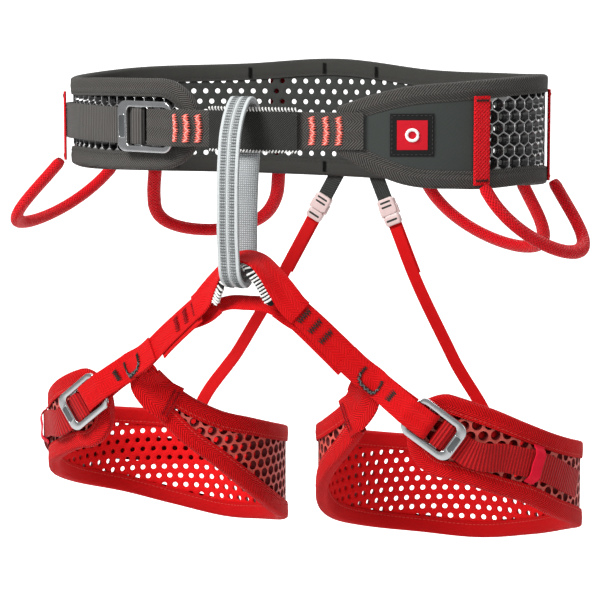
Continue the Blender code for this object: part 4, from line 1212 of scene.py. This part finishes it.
# Legs. The strap from the bridge towards the thigh, for the wearer's left leg; the right leg mirrors it. The
# last column is the share of the bridge's own shift to one side: all of it at the bridge, none at the thigh.
LEG_STRAP_ROUTE = (
    (LEG_ROOT_REACH, -117.6, -113.5, *ROOT_NORMAL, 1.0),
    (46.5, -113.0, -125.5, *ROOT_NORMAL, 0.7),
    (62.5, -107.5, -140.5, 0.26, -0.88, 0.40, 0.3),
    (80, -101.5, -157.5, 0.18, -0.92, 0.32, 0.0),
)
LEG_FRONT_ROUTE = ((276, -171.5), (266, -183.5), (257.5, -193.0), (251, -199.5), (244, -205.5))
LEG_TAIL_ROUTE = ((236, -210.5), (226, -216.0), (214, -221.5), (203, -228.5), (194, -236.0), (184, -243.0))
LEG_BACK_ROUTE = ((168, -249.0), (148, -254.0), (125, -258.5), (100, -261.5), (75, -262.5), (52, -260.5))
LEG_BUCKLE_PLACE = (257.0, -193.5)
KEEPER_PLACE = (214.0, -221.5)
LEG_ROOT = 16.0
LEG_TAIL_END = 2.0
LEG_FOLD_END = 78.0
LOWER_STRAP_LENGTH = 52.0
LOWER_STRAP_SHIFT = 5.0
LEG_SLIM = 2.0  # how much narrower the leg strap is at the bridge
BRIDGE_TACKS = (8.0, 18.0, 28.0)  # distances back from the strap's end at the bridge


def leg_line(band, side):
    """The line of the leg webbing, from the outside of the thigh to the front and up to the bridge."""
    rows = []
    route = LEG_FRONT_ROUTE + LEG_TAIL_ROUTE + (LEG_BACK_ROUTE if side < 0 else ())
    for angle, height in route[::-1]:
        rows.append([*band.point(angle, height, 0.0), *band.outward(angle)])
    for x, y, z, nx, ny, nz, share in LEG_STRAP_ROUTE[::-1]:
        normal = unit(np.array((side * nx, ny, nz)))
        place = np.array((side * x + BRIDGE_X * share, y, z)) - normal * (UNDER_LAYER + 1.6)
        rows.append([*place, *normal])
    line = Line(smooth_rows(rows, 3.5))
    middle = line.nearest(band.point(*LEG_BUCKLE_PLACE, 0.0))
    return line.straightened(middle, STRAIGHT_REACH), middle


def make_keeper(name, line, s, body, node):
    """An elastic loop over the adjusting webbing and its tail, sewn to the band at each side of them."""
    centre, _, normal, across = place_on(line, s, 0.0)
    reach = LEG_WEBBING / 2
    arch = ((3.6, 7.3), (2.1, 7.6), (1.2, 9.3), (-0.6, 11.0), (-reach, 11.2))
    pairs = [(-reach - over, off) for over, off in arch] + [(reach + over, off) for over, off in arch[-2::-1]]
    turn = unit(np.gradient(np.array(pairs), axis=0))
    rows = [
        [*(centre + across * w + normal * off), *(normal * forward - across * rise)]
        for (w, off), (forward, rise) in zip(pairs, turn)
    ]
    strap(name, np.array(rows), 9.0, 0.9, "bright", body, (node,), 1.2, slot="bright_red_elastic")


YOKE_WAIST = 18.0
YOKE_FOOT = 27.0
YOKE_SPREAD = 0.4
YOKE_BOW = 3.0


def make_yoke(name, band, line, body, node):
    """The folded piece that joins the leg strap to the narrow end of the leg band."""
    first = band.first
    top, bottom = band.heights(first + 4)
    middle = (top + bottom) / 2
    spots = ((-3.5, middle + 8.0, 1.4), (0, middle + 2.5, 1.2), (4, middle, 0.9), (8, middle - 2.0, -0.6))
    stations = [
        [*band.point(first + turn, height, LOAD_LAYER + lift), *band.outward(first + turn)]
        for turn, height, lift in spots
    ]
    s = line.nearest(np.array(stations[0][:3])) + 5.0
    under = [*line.at(s, 0.0, UNDER_LAYER - 2.2), *line.axes(s)[1]]
    rows = smooth_rows([under] + stations, 3.0)
    upward = frames(rows)[3] * np.sign(frames(rows)[3][:, 2:])
    rows[:, :3] += upward * YOKE_BOW * np.sin(np.linspace(0.0, math.pi, len(rows)))[:, None]

    def width(share):
        return np.interp(share, (0.0, YOKE_SPREAD), (YOKE_WAIST, YOKE_FOOT))

    _, over = strap(name, rows, width, 2.0, "red_tape", body, (node,), 1.5, slot=RED)
    paths = [tack(over, over.length - at, 10.0, 1.6, 1.25, 0.8) for at in (2.0, 5.5)]
    thread(name + "_stitches", paths, 0.32, "red_thread", body)


def c_stitch(s, side):
    """A C-shaped row of dense stitches: two arms across the strap and a spine along one edge."""
    arms = [(0.0, -4.5), (-1.0, 0.0), (-0.2, 4.0)]
    spine = [(2.0, 6.4), (5.0, 7.2), (12.0, 7.2), (15.0, 6.4)]
    curve = arms + spine + [(17.2, 4.0), (18.0, 0.0), (17.0, -4.5)]
    return smooth_curve([(s + ahead, side * across) for ahead, across in curve])


def smooth_curve(pairs):
    """A smooth curve of (distance, across) pairs through the ones given."""
    rows = [[s, across, 0.0] for s, across in pairs]
    return [(s, across) for s, across, _ in smooth_rows(rows, 1.0)]


def make_leg(side_name, side):
    """One leg loop, its strap, buckle and keeper: side is 1 for the wearer's left and -1 for the right."""
    radius = LEG_RADII[side_name]
    body = "leg_" + side_name
    band = Band(LEG_CENTRES_X[side_name], radius, radius, LEG_EDGES, 251.0, -side)
    make_padding(body, band, LEG_CELLS, ("leg_lining", "leg_crest", "leg_wall"), (RED, "salmon_net"))
    make_tapes(body, band, ["red_tape", "red_fold"], "seam_thread", RED)
    line, middle = leg_line(band, side)
    tail_end = line.nearest(band.point(*LEG_TAIL_ROUTE[-1], 0.0)) + LEG_TAIL_END
    rows = line.lay(LEG_BUCKLE.adjusting_profile(middle, LEG_ROOT, tail_end))
    nodes = (body + "_adjust_webbing",)
    size = (LEG_WEBBING, WEBBING_THICK)
    _, tail = strap(body + "_tail", rows, *size, "dark_red", body, nodes, 1.4, slot="dark_red_webbing")
    paths = [tack(tail, tail.length - 6.0, 7.0, 2.6, WEBBING_THICK / 2 + 0.25, 0.8)]
    thread(body + "_tail_stitches", paths, 0.34, "dark_red", body)
    rows = line.lay(LEG_BUCKLE.anchor_profile(middle, middle + LEG_FOLD_END, line.length))

    def width(share):
        return LEG_WEBBING - LEG_SLIM * max(0.0, 1.0 - share / 0.35) ** 2

    strap(body + "_web", rows, width, WEBBING_THICK, "red_web", body, (body + "_strap",), 1.4, slot=RED)
    low = UNDER_LAYER - WEBBING_THICK - GAP
    rows = line.lay(run((line.length - LOWER_STRAP_LENGTH, low), (line.length, low)))
    rows[:, :3] -= frames(rows)[3] * (side * LOWER_STRAP_SHIFT)
    nodes = (body + "_lower_strap",)
    strap(body + "_under_web", rows, LEG_WEBBING - 5.0, WEBBING_THICK, "red_web", body, nodes, slot=RED)
    make_yoke(body + "_yoke_web", band, line, body, body + "_yoke")
    keeper_at = line.nearest(band.point(*KEEPER_PLACE, 0.0))
    make_keeper(body + "_keeper_loop", line, keeper_at, body, body + "_keeper")
    LEG_BUCKLE.build(body + "_buckle", line, middle, body + "_buckle_frame", body)
    make_leg_stitches(body, side, line, middle)
    make_bridge_join(body, side)


def make_leg_stitches(body, side, line, middle):
    """The C-shaped row where the strap folds back on itself, with a painted highlight on its spine, and the
    tacks by the buckle and the bridge.
    """
    lift = TOP_LAYER + WEBBING_THICK / 2 + 0.3
    start = middle + LEG_BUCKLE.half + 25.0
    curve = c_stitch(start, -side)
    dark = [satin(line, curve, 3.0, lift, 0.75)]
    beside = start - 11.0
    dark.append(satin(line, [(beside, -3.5), (beside, 4.5)], 4.4, lift + 0.9, 0.8))
    thread(body + "_dark_stitches", dark, 0.40, "black_thread", body)
    # A thin grey pass over the middle of the black C-stitch: a painted highlight for the thread's metallic
    # shine.
    pale = [satin(line, curve[6:-6], 1.8, lift + 0.4, 1.8)]
    thread(body + "_pale_stitches", pale, 0.36, "ladder_thread", body)
    lift = UNDER_LAYER + WEBBING_THICK / 2 + 0.3
    look = "black_thread" if side > 0 else "red_thread"
    tacks = [tack(line, line.length - at, 5.5, 4.6, lift, 0.85) for at in BRIDGE_TACKS]
    thread(body + "_bridge_tacks", tacks, 0.40, look, body)


def make_bridge_join(body, side):
    """The short stretches of strap that carry the bridge on into the leg straps, and bend between the two."""
    x, y, z, nx, ny, nz, share = LEG_STRAP_ROUTE[1]
    turned = (side * nx, ny, nz)
    normal = unit(np.array(turned))
    start = np.array([BRIDGE_X + side * ARCH_END[0], *ARCH_END[1:]])
    end = np.array([BRIDGE_X * share + side * x, y, z])
    stations = [
        [BRIDGE_X + side * (LEG_ROOT_REACH - 8.0), BRIDGE_Y + 1.5, -102.0, side * 0.50, -0.70, 0.52],
        [*start, *turned],
        [*(end - normal * 0.1), *turned],
    ]
    rows = smooth_rows(stations, 2.0)[2:-5]
    obj, _ = strap(body + "_bridge_join", rows, LEG_WEBBING - 0.2, 1.8, "red_web", None, (), 1.5, slot=RED)
    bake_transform(obj)
    start = np.array([BRIDGE_X + side * LOWER_END[0], *LOWER_END[1:]])
    end = end - normal * 3.2 - (0.0, 0.0, 4.0)
    stations = [
        [BRIDGE_X + side * (LEG_ROOT_REACH - 12.0), BRIDGE_Y + 6.2, -117.2, side * 0.2, -0.84, 0.5],
        [*start, *turned],
        [*end, *turned],
    ]
    rows = smooth_rows(stations, 2.0)
    obj, _ = strap(body + "_tie_join", rows, 12.4, 1.8, "red_web", None, (), 1.5, slot=RED)
    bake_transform(obj)


# Rear risers: where the elastic tab leaves the belt, the knee where the pull tab ends, the foot on the leg.
RISERS = (
    ("left", (14.0, 102.0, -48.5), (42.0, 103.5, -117.0), (108.0, 96.4, -238.0)),
    ("right", (-22.0, 102.0, -48.2), (-61.0, 102.5, -117.0), (-130.5, 89.2, -238.0)),
)
CLIP_WIDTH = 13.5
CLIP_THICK = 5.6
SOCKET_LENGTH = 13.0
TAB_LENGTH = 13.0
PLUG_BASE = 8.0
RISER_STRAP = (9.6, 1.1)
CLIP_SLOT = "pale_pink_plastic"


def make_riser(name, start, knee, foot):
    """Elastic tab and clip socket on the belt, plug with its pull tab, and the long strap to the leg."""
    start, knee, foot = (np.array(point) for point in (start, knee, foot))
    down = unit(knee - start)
    across = unit(np.cross((0.0, 1.0, 0.0), down))
    normal = np.cross(down, across)
    leg_outward = unit(np.array((foot[0] - LEG_CENTRES_X[name], foot[1], 0.0)))
    prefix = "riser_%s_" % name
    plug_body = prefix + "plug"

    def at(distance):
        return start + down * distance

    def block(part, first, last, size, over, look, body, nodes, round_by):
        """A block of the clip between two distances, `over` mm past the clip's own half thickness."""
        place = (at((first + last) / 2), down, normal, across)
        rise = (-half - over, half + over)
        pad(prefix + part, place, (last - first, *size), rise, look, body, nodes, CLIP_SLOT, round_by)

    rows = np.array([[*at(d), *normal] for d in (-9.0, TAB_LENGTH / 2, TAB_LENGTH + 1.5)])
    strap(prefix + "tab_web", rows, 11.5, 2.0, "elastic", "waist", (prefix + "elastic_tab",), slot=CHARCOAL)
    top = TAB_LENGTH + GAP
    mouth = top + SOCKET_LENGTH
    half = CLIP_THICK / 2
    block("socket_shell", top, mouth, (CLIP_WIDTH, 2.6), 0.0, "clip", "waist", (prefix + "socket",), 1.0)
    for k in range(2):
        first = top + 2.2 + 3.4 * k
        block("socket_slot_%d" % k, first, first + 1.5, (8.6, 0.7), 0.04, "elastic", "waist", (), 0.1)
    size = (CLIP_WIDTH - 0.8, 2.2)
    nodes = (prefix + "plug",)
    block("plug_base", mouth + GAP, mouth + PLUG_BASE, size, -0.2, "clip", plug_body, nodes, 1.0)
    first = mouth + GAP + 3.0
    block("plug_slot", first, first + 1.6, (9.0, 0.7), -0.16, "elastic", plug_body, (), 0.1)
    size = (8.0, 2.4, 1.1)
    for side in (-1, 1):
        prong = (at(mouth - 3.2) + across * side * (CLIP_WIDTH / 2 - 0.4), down, normal, across)
        part = prefix + "prong_%d" % (side + 1)
        pad(part, prong, size, (-1.3, 1.3), "clip", plug_body, (), CLIP_SLOT, 0.5)
    tab_top = at(mouth + PLUG_BASE - 1.0)
    rows = np.array([[*(tab_top + (knee - tab_top) * t), *normal] for t in (0.0, 0.5, 1.0)])
    rows[:, :3] += normal * 1.1
    strap(prefix + "pull_web", rows, 11.0, 1.2, "red_flat", plug_body, (prefix + "pull_tab",), slot=RED)
    begin = at(mouth + PLUG_BASE + 2.0)
    stations = [
        [*(begin - normal * 0.6), *normal],
        [*(knee - normal * 0.6), *normal],
        [*((knee + foot) / 2 - normal * 0.6), *normal],
        [*foot, *leg_outward],
        [foot[0], foot[1], foot[2] - 9.0, *leg_outward],
    ]
    rows = smooth_rows(stations, 12.0)
    obj, _ = strap(prefix + "long_web", rows, *RISER_STRAP, "red_flat", None, (prefix + "strap",), slot=RED)
    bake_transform(obj)


# The room, lights and camera.

CAMERA_TURN = 23.0
CAMERA_RISE = 7.3
CAMERA_DISTANCE = 1.8
CAMERA_TARGET = (-0.0053, -0.0022, -0.126)
CAMERA_LENS = 151.2
FLOOR_LEVEL = -0.42

# The sweep, in metres: how far it runs in front and behind, its half width, and the rise of its far wall.
SWEEP_FRONT = 3.0
SWEEP_BACK = 3.4
SWEEP_RADIUS = 1.2
SWEEP_HALF_WIDTH = 2.4
SWEEP_TOP = 2.6
SWEEP_COLUMNS = 9


def make_floor():
    """A pale sweep that runs level under the harness and curves up far behind it."""
    radius, columns = SWEEP_RADIUS, SWEEP_COLUMNS
    profile = [(-SWEEP_FRONT, 0.0), (0.0, 0.0), (SWEEP_BACK, 0.0)]
    for angle in np.radians(np.linspace(-80, 0, 12)):
        profile.append((SWEEP_BACK + radius * math.cos(angle), radius + radius * math.sin(angle)))
    profile.append((SWEEP_BACK + radius, SWEEP_TOP))
    turn = math.radians(CAMERA_TURN)
    ahead = np.array((-math.sin(turn), math.cos(turn), 0.0))
    side = np.array((math.cos(turn), math.sin(turn), 0.0))
    points = []
    for away, up in profile:
        for across in np.linspace(-SWEEP_HALF_WIDTH, SWEEP_HALF_WIDTH, columns):
            points.append(tuple(ahead * away + side * across + (0.0, 0.0, up + FLOOR_LEVEL)))
    faces = []
    for i in range(len(profile) - 1):
        for k in range(i * columns, (i + 1) * columns - 1):
            faces.append((k, k + 1, k + columns + 1, k + columns))
    mesh = bpy.data.meshes.new("studio_floor")
    mesh.from_pydata(points, [], faces)
    mesh.shade_smooth()
    paper = moulded("studio_paper", (0.72, 0.72, 0.72), 0.85, grain=60.0, depth=0.02, spread=0.02)
    tree = paper.node_tree
    shader = tree.nodes["Principled BSDF"]
    shader.inputs["Emission Color"].default_value = (1.0, 1.0, 1.0, 1.0)
    place = add(tree, "TexCoord").outputs["Object"]
    behind = add(tree, "VectorMath", {0: place, 1: tuple(ahead)}, operation="DOT_PRODUCT").outputs["Value"]
    ramp = add(tree, "MapRange", {"Value": behind, "From Min": 0.1, "From Max": 0.4, "To Max": 1.0})
    tree.links.new(ramp.outputs[0], shader.inputs["Emission Strength"])
    mesh.materials.append(paper)
    floor = bpy.data.objects.new("studio_floor", mesh)
    bpy.context.scene.collection.objects.link(floor)


def area_light(name, direction, distance, size, power):
    data = bpy.data.lights.new(name, "AREA")
    data.shape = "DISK"
    data.size = size
    data.energy = power
    light = bpy.data.objects.new(name, data)
    bpy.context.scene.collection.objects.link(light)
    target = np.array(CAMERA_TARGET)
    place = target + unit(np.array(direction, float)) * distance
    light.location = place
    light.rotation_euler = to_track(target - place)


def to_track(direction):
    return Vector(direction).to_track_quat("-Z", "Y").to_euler()


def make_lights():
    world = bpy.data.worlds.new("studio")
    bpy.context.scene.world = world
    world.use_nodes = True
    background = world.node_tree.nodes["Background"]
    background.inputs["Color"].default_value = (1.0, 1.0, 1.0, 1.0)
    background.inputs["Strength"].default_value = 0.36
    area_light("key", (-0.5, -1.0, 0.9), 1.6, 0.6, 34.0)
    area_light("fill", (1.0, -0.6, 0.3), 1.8, 0.8, 6.0)
    area_light("back", (0.2, 1.0, 1.0), 1.6, 0.8, 12.0)


def make_camera():
    data = bpy.data.cameras.new("camera")
    data.lens = CAMERA_LENS
    data.sensor_width = 36.0
    data.clip_end = 50.0
    camera = bpy.data.objects.new("camera", data)
    bpy.context.scene.collection.objects.link(camera)
    turn, rise = math.radians(CAMERA_TURN), math.radians(CAMERA_RISE)
    back = np.array((math.sin(turn) * math.cos(rise), -math.cos(turn) * math.cos(rise), math.sin(rise)))
    camera.location = np.array(CAMERA_TARGET) + back * CAMERA_DISTANCE
    camera.rotation_euler = to_track(-back)
    bpy.context.scene.camera = camera


make_waist()
make_panel()
make_label()
for loop in GEAR_LOOPS:
    make_gear_loop(*loop)
make_belay_loop()
make_bridge()
make_leg("left", 1)
make_leg("right", -1)
for riser in RISERS:
    make_riser(*riser)
make_floor()
make_lights()
make_camera()
bpy.context.scene.view_settings.view_transform = "Standard"
